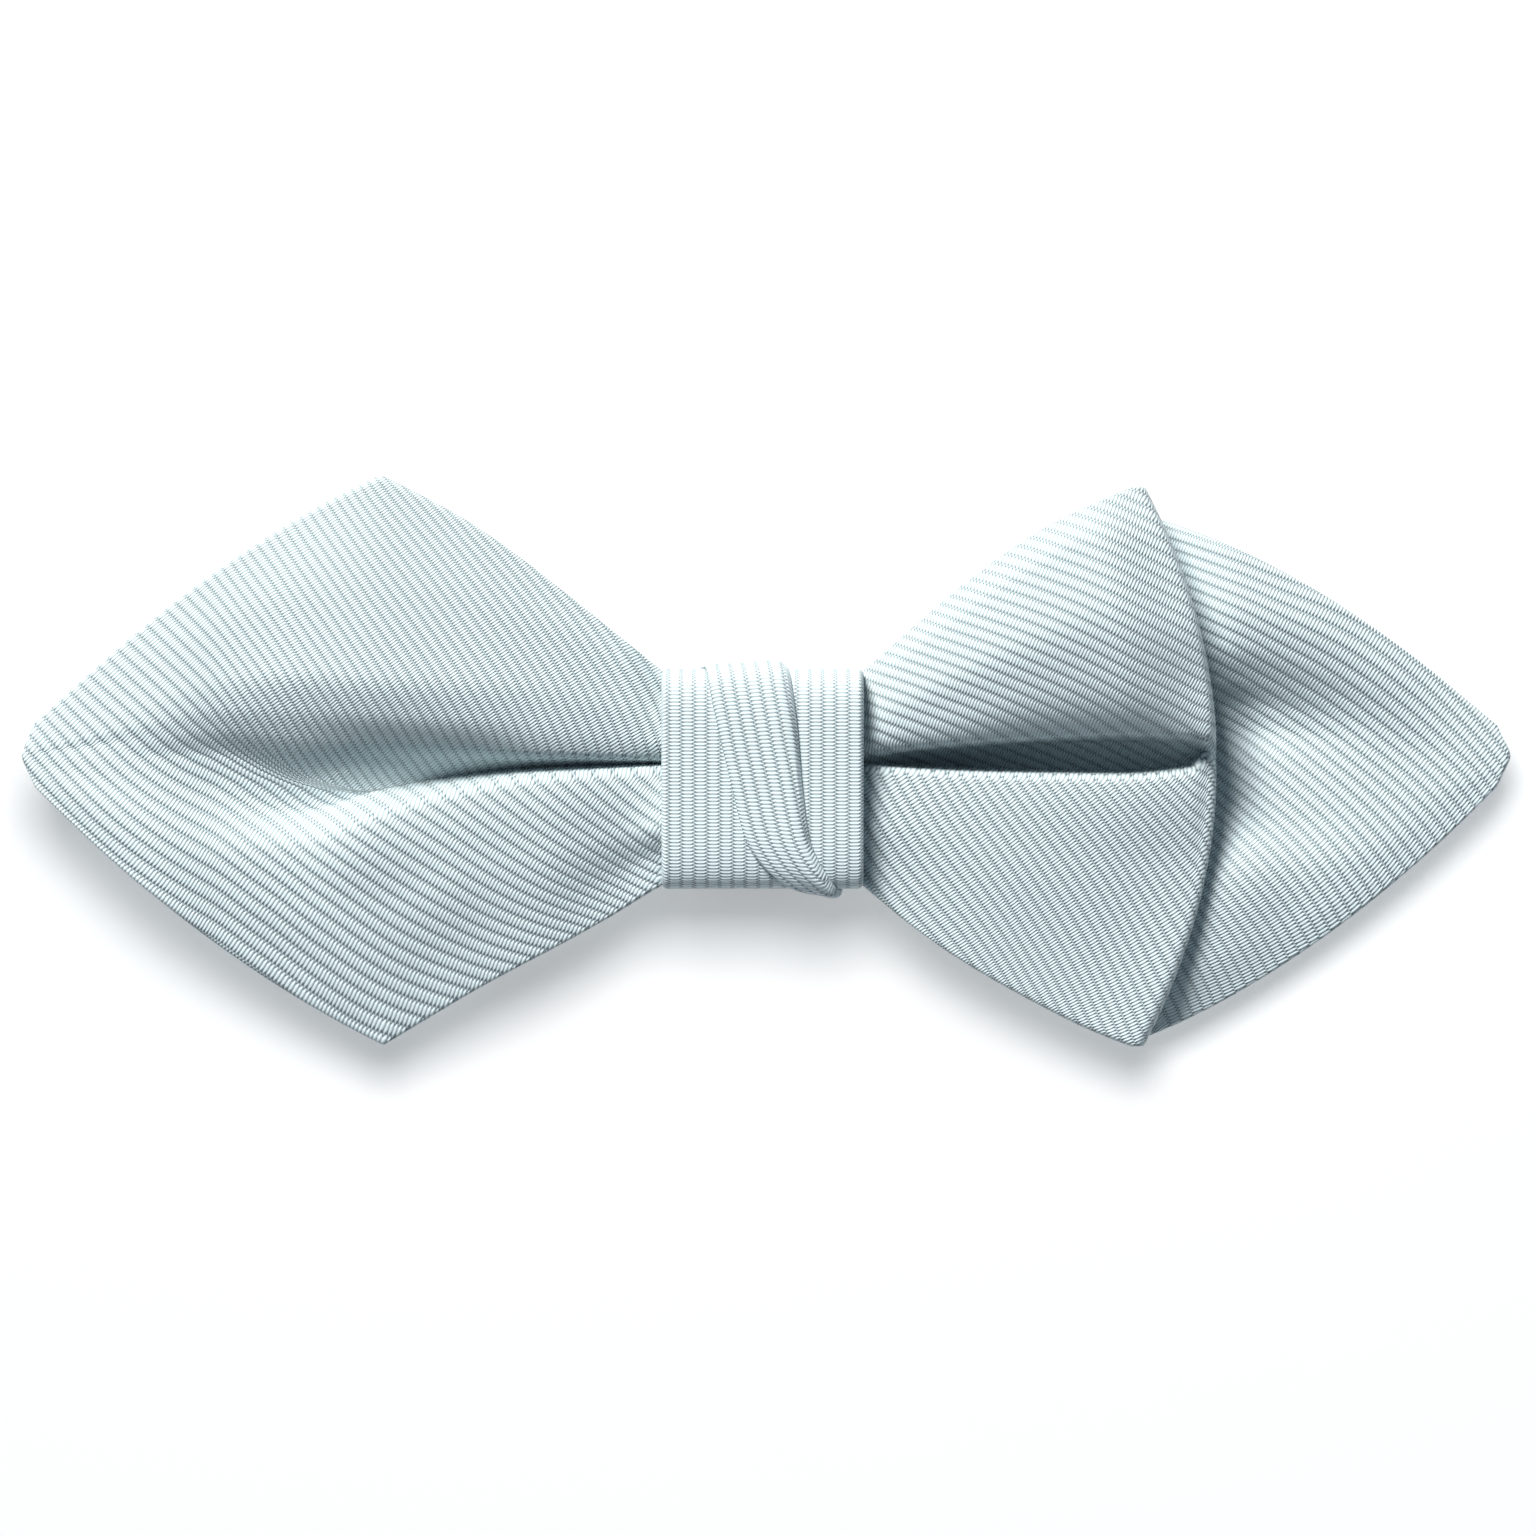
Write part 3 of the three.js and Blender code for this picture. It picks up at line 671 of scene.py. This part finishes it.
# %% Turn rows of points into a sheet
def from_rim(middle):
    """How far each point of a grid lies from the nearest edge, measured over the cloth."""
    rows, cols = middle.shape[:2]
    step_col = np.linalg.norm(np.diff(middle, axis=1), axis=2)
    from_left = np.concatenate([np.zeros((rows, 1)), np.cumsum(step_col, axis=1)], axis=1)
    from_right = from_left[:, -1:] - from_left
    step_row = np.linalg.norm(np.diff(middle, axis=0), axis=2)
    from_start = np.concatenate([np.zeros((1, cols)), np.cumsum(step_row, axis=0)], axis=0)
    from_end = from_start[-1:] - from_start
    return np.minimum(np.minimum(from_left, from_right), np.minimum(from_start, from_end))


def sheet_mesh(name, middle, cloth_place, material, wall=CLOTH_WALL):
    """A closed sheet round a grid with odd numbers of rows and columns."""
    rows, cols = middle.shape[:2]
    d_row, d_col = np.gradient(middle, axis=0), np.gradient(middle, axis=1)
    normal = np.cross(d_row, d_col)
    normal /= np.linalg.norm(normal, axis=2, keepdims=True)
    inward = np.clip(from_rim(middle) / (wall / 2), 0, 1)
    half = wall / 2 * np.sqrt(1 - (1 - inward) ** 2)
    ribs = rib_shape(cloth_place[..., 0], RIB_PITCH)
    level = np.clip(FADE_GAIN * np.abs(normal[..., 2]) - FADE_LOSS, 0, 1)
    offset = (half + RIB_RELIEF * (ribs - RIB_MEAN) * inward * level)[..., None]
    front, back = middle + normal * offset, middle - normal * offset
    index = np.arange(rows * cols).reshape(rows, cols)
    a, b, c, d = index[:-1, :-1], index[1:, :-1], index[1:, 1:], index[:-1, 1:]
    faces = np.stack([a, b, c, d], axis=-1).reshape(-1, 4).tolist()
    # the back keeps every second point, and its outer faces take in the rim's other points
    kept = np.zeros((rows, cols), bool)
    kept[2:-2:2, 2:-2:2] = True
    back_index = index.copy()
    back_index[kept] = rows * cols + np.arange(kept.sum())
    for i in range(0, rows - 1, 2):
        for j in range(0, cols - 1, 2):
            ring = [back_index[i, j]]
            if i == 0:
                ring.append(index[i, j + 1])
            ring.append(back_index[i, j + 2])
            if j == cols - 3:
                ring.append(index[i + 1, j + 2])
            ring.append(back_index[i + 2, j + 2])
            if i == rows - 3:
                ring.append(index[i + 2, j + 1])
            ring.append(back_index[i + 2, j])
            if j == 0:
                ring.append(index[i + 1, j])
            faces.append([int(k) for k in ring])
    points = np.concatenate([front.reshape(-1, 3), back[kept]])
    places = np.concatenate([cloth_place.reshape(-1, 2), cloth_place[kept]])
    return make_piece(name, points, faces, places, material)


def make_piece(name, points, faces, places, material):
    """A finished piece from points in millimetres, with its cloth places in the UV map."""
    mesh = bpy.data.meshes.new(name)
    mesh.from_pydata(((points + SHIFT) * MM).tolist(), [], list(faces))
    layer = mesh.uv_layers.new(name="cloth")
    loops = np.empty(len(mesh.loops), int)
    mesh.loops.foreach_get("vertex_index", loops)
    layer.data.foreach_set("uv", places[loops].ravel())
    mesh.shade_smooth()
    piece = bpy.data.objects.new(name, mesh)
    bpy.context.collection.objects.link(piece)
    mesh.materials.append(material)
    size = np.ptp(points, axis=0).round(1)
    print(name, "faces:", len(faces), "size in mm:", size)
    return piece


# %% [markdown]
# Where the ribs run
#
# The strip was cut on the bias, so its ribs start at about 45 degrees from its point. Where
# the cloth is gathered into the knot the ribs turn and crowd together: just above the fold of
# the left wing they stand steeper, and over its lower lobe they lie flatter. One turned grid
# of ribs could not do that. So a seam line runs out along the fold of each wing, and for a row
# of places along it a table says how many ribs one meets in 10 mm to the right, just above and
# just below the seam, and in 10 mm upwards at six heights. A second table counts the threads
# that cross the ribs. Adding up these counts from the leaf's end numbers every rib.

# %% Tables of the ribs
# Columns of SEAMS: x, y, half width of the bend from one lobe to the other.
# Columns of RIBS and THREADS, counts in 10 mm: x; to the right above and below the seam;
# upwards at the top edge, half way up, above the seam, below it, half way down, bottom edge.
SEAMS = {
    "left": [[0, 0.2, 0.02], [11.9, 0.15, 0.02], [18.3, -0.05, 0.02], [24.8, -0.8, 0.02],
             [31.2, -1.9, 0.02], [36, -1.2, 0.4], [40.6, 0.4, 1.8], [45, 1.5, 3.0],
             [52, 1.2, 3.0], [60, 0.6, 1.0]],
    "loop": [[0, 0.3, 0.02], [10.6, 0.1, 0.02], [15.4, -0.1, 0.02], [21.9, -0.3, 0.02],
             [28.3, -0.4, 0.02], [34, 0.2, 0.02], [36.3, 1.4, 0.02]],
    "blade": [[0, 1.0, 2.0], [31, 1.0, 2.0], [38, 0.6, 2.0], [42.8, 0.3, 2.0], [49.2, 0.0, 2.0],
              [60, 0.6, 1.0]],
}
RIBS = {
    "left": [
        [9, 9.9, 5.5, 13.3, 8.2, 3.0, 6.0, 12.8, 19.7],
        [14, 10.6, 5.9, 12.5, 7.7, 3.5, 6.5, 11.6, 16.1],
        [20, 11.7, 6.2, 11.5, 7.2, 5.0, 7.2, 9.6, 11.8],
        [27, 11.8, 6.4, 9.2, 6.7, 6.7, 8.1, 8.1, 9.1],
        [35, 9.3, 3.5, 7.2, 6.9, 6.9, 9.1, 7.2, 7.9],
        [44, 7.8, 3.7, 6.2, 7.5, 7.1, 7.5, 7.3, 7.2],
        [52, 6.8, 6.8, 6.0, 7.1, 7.2, 7.3, 7.7, 7.5],
        [60, 9.0, 9.0, 5.8, 6.7, 7.3, 7.3, 7.7, 7.9],
    ],
    "loop": [
        [9, 3.6, 9.2, 12.4, 11.5, 10.5, 4.4, 6.3, 8.4],
        [15, 3.7, 9.3, 11.5, 11.0, 10.6, 5.7, 6.8, 8.1],
        [22, 4.5, 9.5, 10.9, 10.1, 11.1, 7.8, 5.8, 6.5],
        [29, 6.0, 9.8, 10.2, 9.5, 10.9, 9.7, 5.2, 4.7],
        [36, 9.3, 9.3, 9.6, 9.3, 9.2, 9.3, 5.7, 3.0],
    ],
    "blade": [
        [32, 5.9, 5.9, 13.8, 11.1, 10.0, 10.0, 7.8, 3.3],
        [40, 5.8, 5.8, 11.3, 10.1, 8.5, 8.5, 6.5, 2.1],
        [50, 6.3, 6.3, 7.7, 7.3, 7.9, 7.9, 4.4, 0.1],
        [60, 9.1, 9.1, 3.9, 5.6, 7.3, 7.3, 3.1, -1.8],
    ],
}
THREADS = {
    "left": [
        [9, 5.8, 8.5, -7.7, -9.3, -10.9, -6.6, -4.6, -2.5],
        [14, 5.7, 8.2, -8.5, -9.3, -10.2, -6.9, -4.6, -2.0],
        [20, 5.5, 7.7, -9.3, -9.8, -10.2, -6.5, -4.6, -1.2],
        [27, 5.8, 7.0, -10.4, -10.1, -9.5, -5.9, -4.3, -2.1],
        [35, 10.0, 8.8, -10.4, -10.0, -8.1, -5.6, -4.5, -3.3],
        [44, 10.4, 9.3, -10.4, -9.9, -7.6, -5.2, -5.3, -4.7],
        [52, 7.3, 7.3, -10.5, -9.0, -6.6, -6.6, -5.6, -5.3],
        [60, 6.4, 6.4, -10.4, -8.5, -7.4, -7.6, -6.8, -5.8],
    ],
    "loop": [
        [9, 11.3, 5.3, -3.1, -3.7, -4.3, -7.8, -8.3, -9.1],
        [15, 11.3, 5.8, -3.4, -3.8, -4.4, -7.9, -9.2, -11.1],
        [22, 10.9, 6.8, -3.7, -4.5, -4.8, -8.6, -9.4, -11.5],
        [29, 10.2, 6.5, -3.5, -4.6, -5.5, -8.7, -8.8, -9.9],
        [36, 8.7, 8.7, -3.5, -4.8, -6.5, -6.7, -7.6, -8.7],
    ],
    "blade": [
        [32, 9.3, 9.3, -3.1, -5.6, -8.3, -8.3, -10.6, -9.5],
        [40, 8.8, 8.8, -2.9, -4.8, -6.7, -6.7, -8.7, -8.7],
        [50, 7.5, 7.5, -2.9, -4.7, -5.9, -5.9, -6.4, -7.7],
        [60, 6.0, 6.0, -3.0, -4.9, -6.1, -6.1, -6.1, -6.3],
    ],
}


# %% Count the ribs over a leaf
LOBE_HEIGHT = 22.0
COUNT_FROM, COUNT_TO = -0.2, 1.3  # shares of a lobe's height to which the counts reach
COUNT_SPAN = 10


def count_from_tip(rows, side, x, y, seam, up, fine_count=1200):
    """Ribs met on the way from the end of a leaf along its seam, and then up or down."""
    rows = np.array(rows)
    out, at = side * x, rows[:, 0]
    level, near, half, far = (1, 5, 4, 3) if up else (2, 6, 7, 8)
    fine = np.linspace(0, at[-1], fine_count)
    rate = smooth_through(at, rows[:, level], fine)
    steps = (rate[1:] + rate[:-1]) / 2 * np.diff(fine)
    met = np.concatenate([[0], np.cumsum(steps)])
    count = side * (np.interp(out, fine, met) - met[-1])
    way = 1 if up else -1
    t = np.clip(way * (y - seam) / LOBE_HEIGHT, COUNT_FROM, COUNT_TO)
    # what the parabola through the near, the half way and the far count adds up to, up to t
    shares = (t - 1.5 * t**2 + t**3 * 2 / 3, 2 * t**2 - t**3 * 4 / 3, t**3 * 2 / 3 - t**2 / 2)
    for column, share in zip((near, half, far), shares):
        count = count + way * LOBE_HEIGHT * share * smooth_through(at, rows[:, column], out)
    return count / COUNT_SPAN


def cloth_places(points, side, weave):
    """Millimetres of cloth across the ribs and along them."""
    x, y = points[..., 0], points[..., 1]
    if not weave:
        return np.stack([x + y, x - y], axis=-1) / math.sqrt(2)
    line = np.array(SEAMS[weave])
    seam = smooth_through(line[:, 0], line[:, 1], side * x)
    bend = smooth_through(line[:, 0], line[:, 2], side * x)
    upper = smooth_step(y, seam - bend, seam + bend)
    counts = []
    for tables in (RIBS, THREADS):
        above = count_from_tip(tables[weave], side, x, y, seam, True)
        below = count_from_tip(tables[weave], side, x, y, seam, False)
        counts.append(upper * above + (1 - upper) * below)
    return RIB_PITCH * np.stack(counts, axis=-1)


def leaf_grid(piece, start, end, cell, columns):
    """A grid of points over a leaf, and their cloth places."""
    count = 2 * int(round((end - start) * piece["reach"] / cell / 2)) + 1
    along = np.linspace(start, end, count)[:, None]
    across = spread_evenly(lambda v: leaf_points(piece, along, v[None, :] + 0 * along), columns)
    along = along + 0 * across
    points = leaf_points(piece, along, across)
    return points, cloth_places(points, piece["side"], piece["weave"])


# %% [markdown]
# The front blade
#
# The left wing is one leaf that ends in the point. It lies in front of the hidden left loop.
# Its columns run the other way, as on the left side its front would face down otherwise.

# %% Build the front blade
CELL = 0.186
BLADE_START = 0.07
BLADE_COLUMNS = 231
points, places = leaf_grid(front_blade, BLADE_START, 1.0, CELL, BLADE_COLUMNS)
front = sheet_mesh("front_blade_cloth", points[:, ::-1], places[:, ::-1], wing_cloth)

# %% [markdown]
# The rear blade
#
# The strip's other end shows past the right loop, low and half in its shade. The whole leaf is
# built, and not only the part that shows, as the loop's open end lets one look in behind.

# %% Build the rear blade
points, places = leaf_grid(rear_blade, BLADE_START, 1.0, CELL, BLADE_COLUMNS)
rear = sheet_mesh("rear_blade_cloth", points, places, wing_cloth)


# %% [markdown]
# The loops
#
# A loop goes out from the knot, turns round at the fold and comes back behind itself. Its two
# leaves could be two pieces that meet at the fold, but the turn would show as a seam. So the
# rows run on round a half circle that joins the ends of the leaves, as one strip of cloth.

# %% Build the loops
FOLD_ROUND = 1.0  # radius by which the cloth places run on round the turn


def loop_sheet(name, outer, inner, cell, columns, wall, start=0.12, turn_steps=14):
    """One sheet that runs out over the outer leaf, round the fold and back over the inner."""
    front_points, front_places = leaf_grid(outer, start, 1.0, cell, columns)
    rear_points, rear_places = leaf_grid(inner, start, 1.0, cell, columns)
    side = outer["side"]
    turns = [math.pi * i / turn_steps for i in range(1, turn_steps)]
    fold_points, fold_places = [], []
    for turn in turns:
        share = (1 - math.cos(turn)) / 2
        row = front_points[-1] * (1 - share) + rear_points[-1] * share
        row[:, 0] += side * FOLD_REACH * math.sin(turn)
        fold_points.append(row)
        run = turn * FOLD_ROUND * side / math.sqrt(2)
        fold_places.append(front_places[-1] + np.array([run, run]))
    rear_run = front_places[-1] + math.pi * FOLD_ROUND * side / math.sqrt(2) - rear_places[-1]
    back_places = rear_places[::-1] + rear_run
    points = np.concatenate([front_points, np.array(fold_points), rear_points[::-1]])
    places = np.concatenate([front_places, np.array(fold_places), back_places])
    if side < 0:
        points, places = points[:, ::-1], places[:, ::-1]
    return sheet_mesh(name, points, places, wing_cloth, wall)


right_loop = loop_sheet("right_loop_cloth", right_front, right_rear,
                        cell=0.2, columns=221, wall=0.75)
left_loop = loop_sheet("left_loop_cloth", left_front, left_rear,
                       cell=0.3, columns=141, wall=CLOTH_WALL)

# %% [markdown]
# The knot's band
#
# A flat loop of the same cloth holds the wings. Its ribs run round the knot, and its two side
# edges are turned under, so each ends in a smooth roll. A bevelled curve could make such a
# loop, but the ribs need the section as points. So the section is swept round a rounded box
# whose corners are soft and whose front leans, as its shading in the photograph says.

# %% Outline of the knot
KNOT_BACK = 3.9
KNOT_DEPTH = 13.4
KNOT_AXIS = KNOT_BACK + KNOT_DEPTH / 2
BAND_WALL = 1.0
CORNER_POWER = 6.5  # 2 would be an ellipse, and more is nearer to a box
KNOT_LEAN = 0.23


def knot_outline(turn, outset):
    """Places y and z round the knot. A turn of 0 is the front, and a quarter is the top."""
    power = 2 / CORNER_POWER
    quarter = np.floor(turn / (math.pi / 2))
    inside = turn / (math.pi / 2) - quarter
    first, second = inside ** (1 / power), (1 - inside) ** (1 / power)
    turn = (quarter + first / (first + second)) * math.pi / 2
    out, up = np.cos(turn), np.sin(turn)
    y = KNOT_MIDDLE + np.sign(up) * np.abs(up) ** power * (HOLLOW_HALF_HEIGHT + outset)
    z = np.sign(out) * np.abs(out) ** power * (KNOT_DEPTH / 2 - BAND_WALL + outset)
    lean = KNOT_LEAN * (y - KNOT_MIDDLE) * np.clip(z / (KNOT_DEPTH / 2), 0, 1)
    return y, KNOT_AXIS + z + lean


def even_turns(start, end, outset, count, fine_count=4000):
    """Turns round the knot that lie evenly along its outline, and how far along they lie."""
    fine = np.linspace(start, end, fine_count)
    y, z = knot_outline(fine, outset)
    run = np.concatenate([[0], np.cumsum(np.hypot(np.diff(y), np.diff(z)))])
    wanted = np.linspace(0, run[-1], count)
    return np.interp(wanted, run, fine), wanted


# %% Faces between rings of points
def ring_faces(rows, cols, closed):
    i, j = np.meshgrid(np.arange(rows if closed else rows - 1), np.arange(cols), indexing="ij")
    next_i, next_j = (i + 1) % rows, (j + 1) % cols
    corners = [i * cols + j, i * cols + next_j, next_i * cols + next_j, next_i * cols + j]
    return np.stack(corners, axis=-1).reshape(-1, 4).tolist()


# %% Build the band
FACE_POINTS, ROLL_POINTS, ROUND_POINTS = 150, 9, 221
RIB_START = 0.35  # moves the ribs sideways to where the photograph has them
EDGE_FADE = 0.5  # width over which the ribs die away towards the rolls


def build_band():
    roll = BAND_WALL / 2
    straight = KNOT_WIDTH / 2 - roll
    face = np.linspace(straight, -straight, FACE_POINTS)
    edge = np.linspace(0, math.pi, ROLL_POINTS)[1:-1]
    ribs = rib_shape(face + RIB_START, KNOT_PITCH)
    fade = np.clip((straight - np.abs(face)) / EDGE_FADE, 0, 1)
    crown = 2 * roll + RIB_RELIEF * (ribs - RIB_MEAN) * fade
    section_x = np.concatenate(
        [face, -straight - roll * np.sin(edge), -face, straight + roll * np.sin(edge)]
    )
    section_out = np.concatenate(
        [crown, roll + roll * np.cos(edge), 0 * face, roll - roll * np.cos(edge)]
    )
    turns = even_turns(math.pi, 3 * math.pi, BAND_WALL, ROUND_POINTS)[0][:-1]
    y, z = knot_outline(turns[:, None], section_out[None, :])
    x = KNOT_OFFSET + section_x[None, :] + 0 * y
    points = np.stack([x, y, z], axis=-1)
    rows, cols = points.shape[:2]
    step = np.linalg.norm(np.diff(points[:, 0], axis=0, append=points[:1, 0]), axis=1)
    run = np.concatenate([[0], np.cumsum(step)[:-1]])
    places = np.stack([section_x[None, :] + RIB_START + 0 * y, run[:, None] + 0 * y], axis=-1)
    faces = ring_faces(rows, cols, closed=True)
    return make_piece("knot_band_cloth", points.reshape(-1, 3), faces, places.reshape(-1, 2),
                      knot_cloth)


band = build_band()

# %% [markdown]
# The pleat over the knot
#
# The band's last turn is folded narrow and laid slanting over the front. It comes over the top
# of the knot on the left, crosses to the right and is tucked under the bottom. Its ribs keep
# to its left edge, and its right edge is rolled. It could be part of the band's mesh, but as a
# piece of its own it casts the fine shadow along its edge.

# %% Build the pleat
# Columns: run over the knot in mm; left edge and right edge in halves of the knot's width;
# thickness in mm.
PLEAT = [
    [0.0, -0.62, 0.12, 0.5],
    [8.0, -0.58, 0.21, 0.6],
    [11.5, -0.555, 0.26, 0.7],
    [17.0, -0.43, 0.35, 1.0],
    [21.3, -0.305, 0.395, 1.0],
    [25.4, -0.175, 0.46, 1.0],
    [27.5, -0.02, 0.56, 1.0],
    [29.2, 0.19, 0.67, 0.9],
    [31.0, 0.45, 0.755, 0.75],
    [33.0, 0.60, 0.78, 0.6],
    [38.0, 0.66, 0.80, 0.5],
]
# Across the pleat, from its left edge to its right: shares of its width and thickness.
CROWN_AT = [0.0, 0.07, 0.5, 0.8, 0.93, 1.0]
CROWN = [0.25, 0.5, 0.75, 1.0, 0.85, 0.2]
PLEAT_START, PLEAT_END = 0.698 * math.pi, -0.677 * math.pi
PLEAT_GAP = 0.06
PLEAT_BORDER = 0.9
PLEAT_FADE = 0.4
PLEAT_ROWS, PLEAT_COLUMNS = 170, 80


def build_pleat():
    table = np.array(PLEAT)
    table[:, 1:3] *= KNOT_WIDTH / 2
    turn, run = even_turns(PLEAT_START, PLEAT_END, BAND_WALL, PLEAT_ROWS)
    turn, run = turn[:, None], run[:, None]
    left, right, thick = (smooth_through(table[:, 0], table[:, k], run) for k in (1, 2, 3))
    share = np.linspace(0, 1, PLEAT_COLUMNS)[None, :]
    x = left + (right - left) * share
    crown = smooth_through(CROWN_AT, CROWN, share)
    from_left = x - left
    inside = np.clip(np.minimum(from_left - PLEAT_BORDER / 2, right - x) / PLEAT_FADE, 0, 1)
    ribs = rib_shape(from_left - PLEAT_BORDER, KNOT_PITCH)
    rise = thick * crown + RIB_RELIEF * (ribs - RIB_MEAN) * inside
    y_top, z_top = knot_outline(turn, BAND_WALL + PLEAT_GAP + rise)
    y_low, z_low = knot_outline(turn, BAND_WALL + PLEAT_GAP + 0 * rise)
    top = np.stack([x + KNOT_OFFSET, y_top, z_top], axis=-1)
    low = np.stack([x + KNOT_OFFSET, y_low, z_low], axis=-1)[:, ::-1]
    rings = np.concatenate([low, top], axis=1)[:, ::-1]
    place_top = np.stack([from_left - PLEAT_BORDER, run + 0 * x], axis=-1)
    places = np.concatenate([place_top[:, ::-1], place_top], axis=1)[:, ::-1]
    rows, cols = rings.shape[:2]
    faces = ring_faces(rows, cols, closed=False)
    faces.append(list(range(cols - 1, -1, -1)))
    faces.append([(rows - 1) * cols + k for k in range(cols)])
    return make_piece("knot_pleat_cloth", rings.reshape(-1, 3), faces, places.reshape(-1, 2),
                      knot_cloth)


pleat = build_pleat()

# %% [markdown]
# The clip
#
# The clip behind the knot is one plain piece of bent steel strip. Its CAD mesh is as fine as
# such a part needs, so it is kept. It gets a brushed finish: noise that is stretched into
# streaks along its length, which costs less than drawing the scratches.

# %% Finish the clip
DARK_STEEL = (0.50, 0.51, 0.52, 1)
PALE_STEEL = (0.68, 0.69, 0.70, 1)
STREAK_SCALE = (9000, 120, 9000)
STREAK_START, STREAK_END = 0.3, 0.7
SMOOTHEST, ROUGHEST = 0.22, 0.42


def make_clip_metal():
    material = bpy.data.materials.new("brushed_clip")
    material.use_nodes = True
    tree = material.node_tree
    shader = tree.nodes["Principled BSDF"]
    place = tree.nodes.new("ShaderNodeTexCoord")
    stretch = tree.nodes.new("ShaderNodeMapping")
    stretch.inputs["Scale"].default_value = STREAK_SCALE
    tree.links.new(place.outputs["Object"], stretch.inputs["Vector"])
    streaks = tree.nodes.new("ShaderNodeTexNoise")
    set_inputs(streaks, {"Scale": 1.0, "Detail": 2.0})
    tree.links.new(stretch.outputs["Vector"], streaks.inputs["Vector"])
    tone = mix_colour(tree, streaks.outputs["Fac"], DARK_STEEL, PALE_STEEL)
    tree.links.new(tone, shader.inputs["Base Color"])
    rough = ramp_node(tree, streaks.outputs["Fac"], STREAK_START, STREAK_END, SMOOTHEST, ROUGHEST)
    tree.links.new(rough, shader.inputs["Roughness"])
    shader.inputs["Metallic"].default_value = 1.0
    return material


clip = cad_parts["collar_clip"]
clip.data.materials.clear()
clip.data.materials.append(make_clip_metal())
print("clip faces:", len(clip.data.polygons))

# %% [markdown]
# Attaching the pieces to the tie's body
#
# Every cloth piece rides on the one body of the tie, and the CAD node that it stands for is
# hidden. The sizes to which the band's and the pleat's cloth were cut are listed below. The
# wings are gathered in the knot, and the band and the pleat are folded round it.

BAND_CUT = (0.0162, 0.056)
PLEAT_CUT = (0.0105, 0.036)
PLEAT_AREA = 0.00026
for piece in (front, rear, right_loop, left_loop):
    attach(piece, "root")
    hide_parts("bow_strip")
for piece, node, cut, area, rests in ((band, "knot_band", BAND_CUT, None, right_loop),
                                      (pleat, "knot_pleat", PLEAT_CUT, PLEAT_AREA, band)):
    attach(piece, "root")
    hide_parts(node)

# %% [markdown]
# Linking the lights
#
# A light's own collection names what it lights: every piece of the tie for the one, and the
# floor alone for the other. Shadows stay as they are, so the tie still shades the table.


# %% Link each light to what it lights
def light_only(light, pieces):
    lit = bpy.data.collections.new("lit_by_" + light.name)
    for piece in pieces:
        lit.objects.link(piece)
    light.light_linking.receiver_collection = lit


light_only(tie_light, [front, rear, right_loop, left_loop, band, pleat, clip])
light_only(table_light, [floor])
print("linked:", tie_light.name, "and", table_light.name)
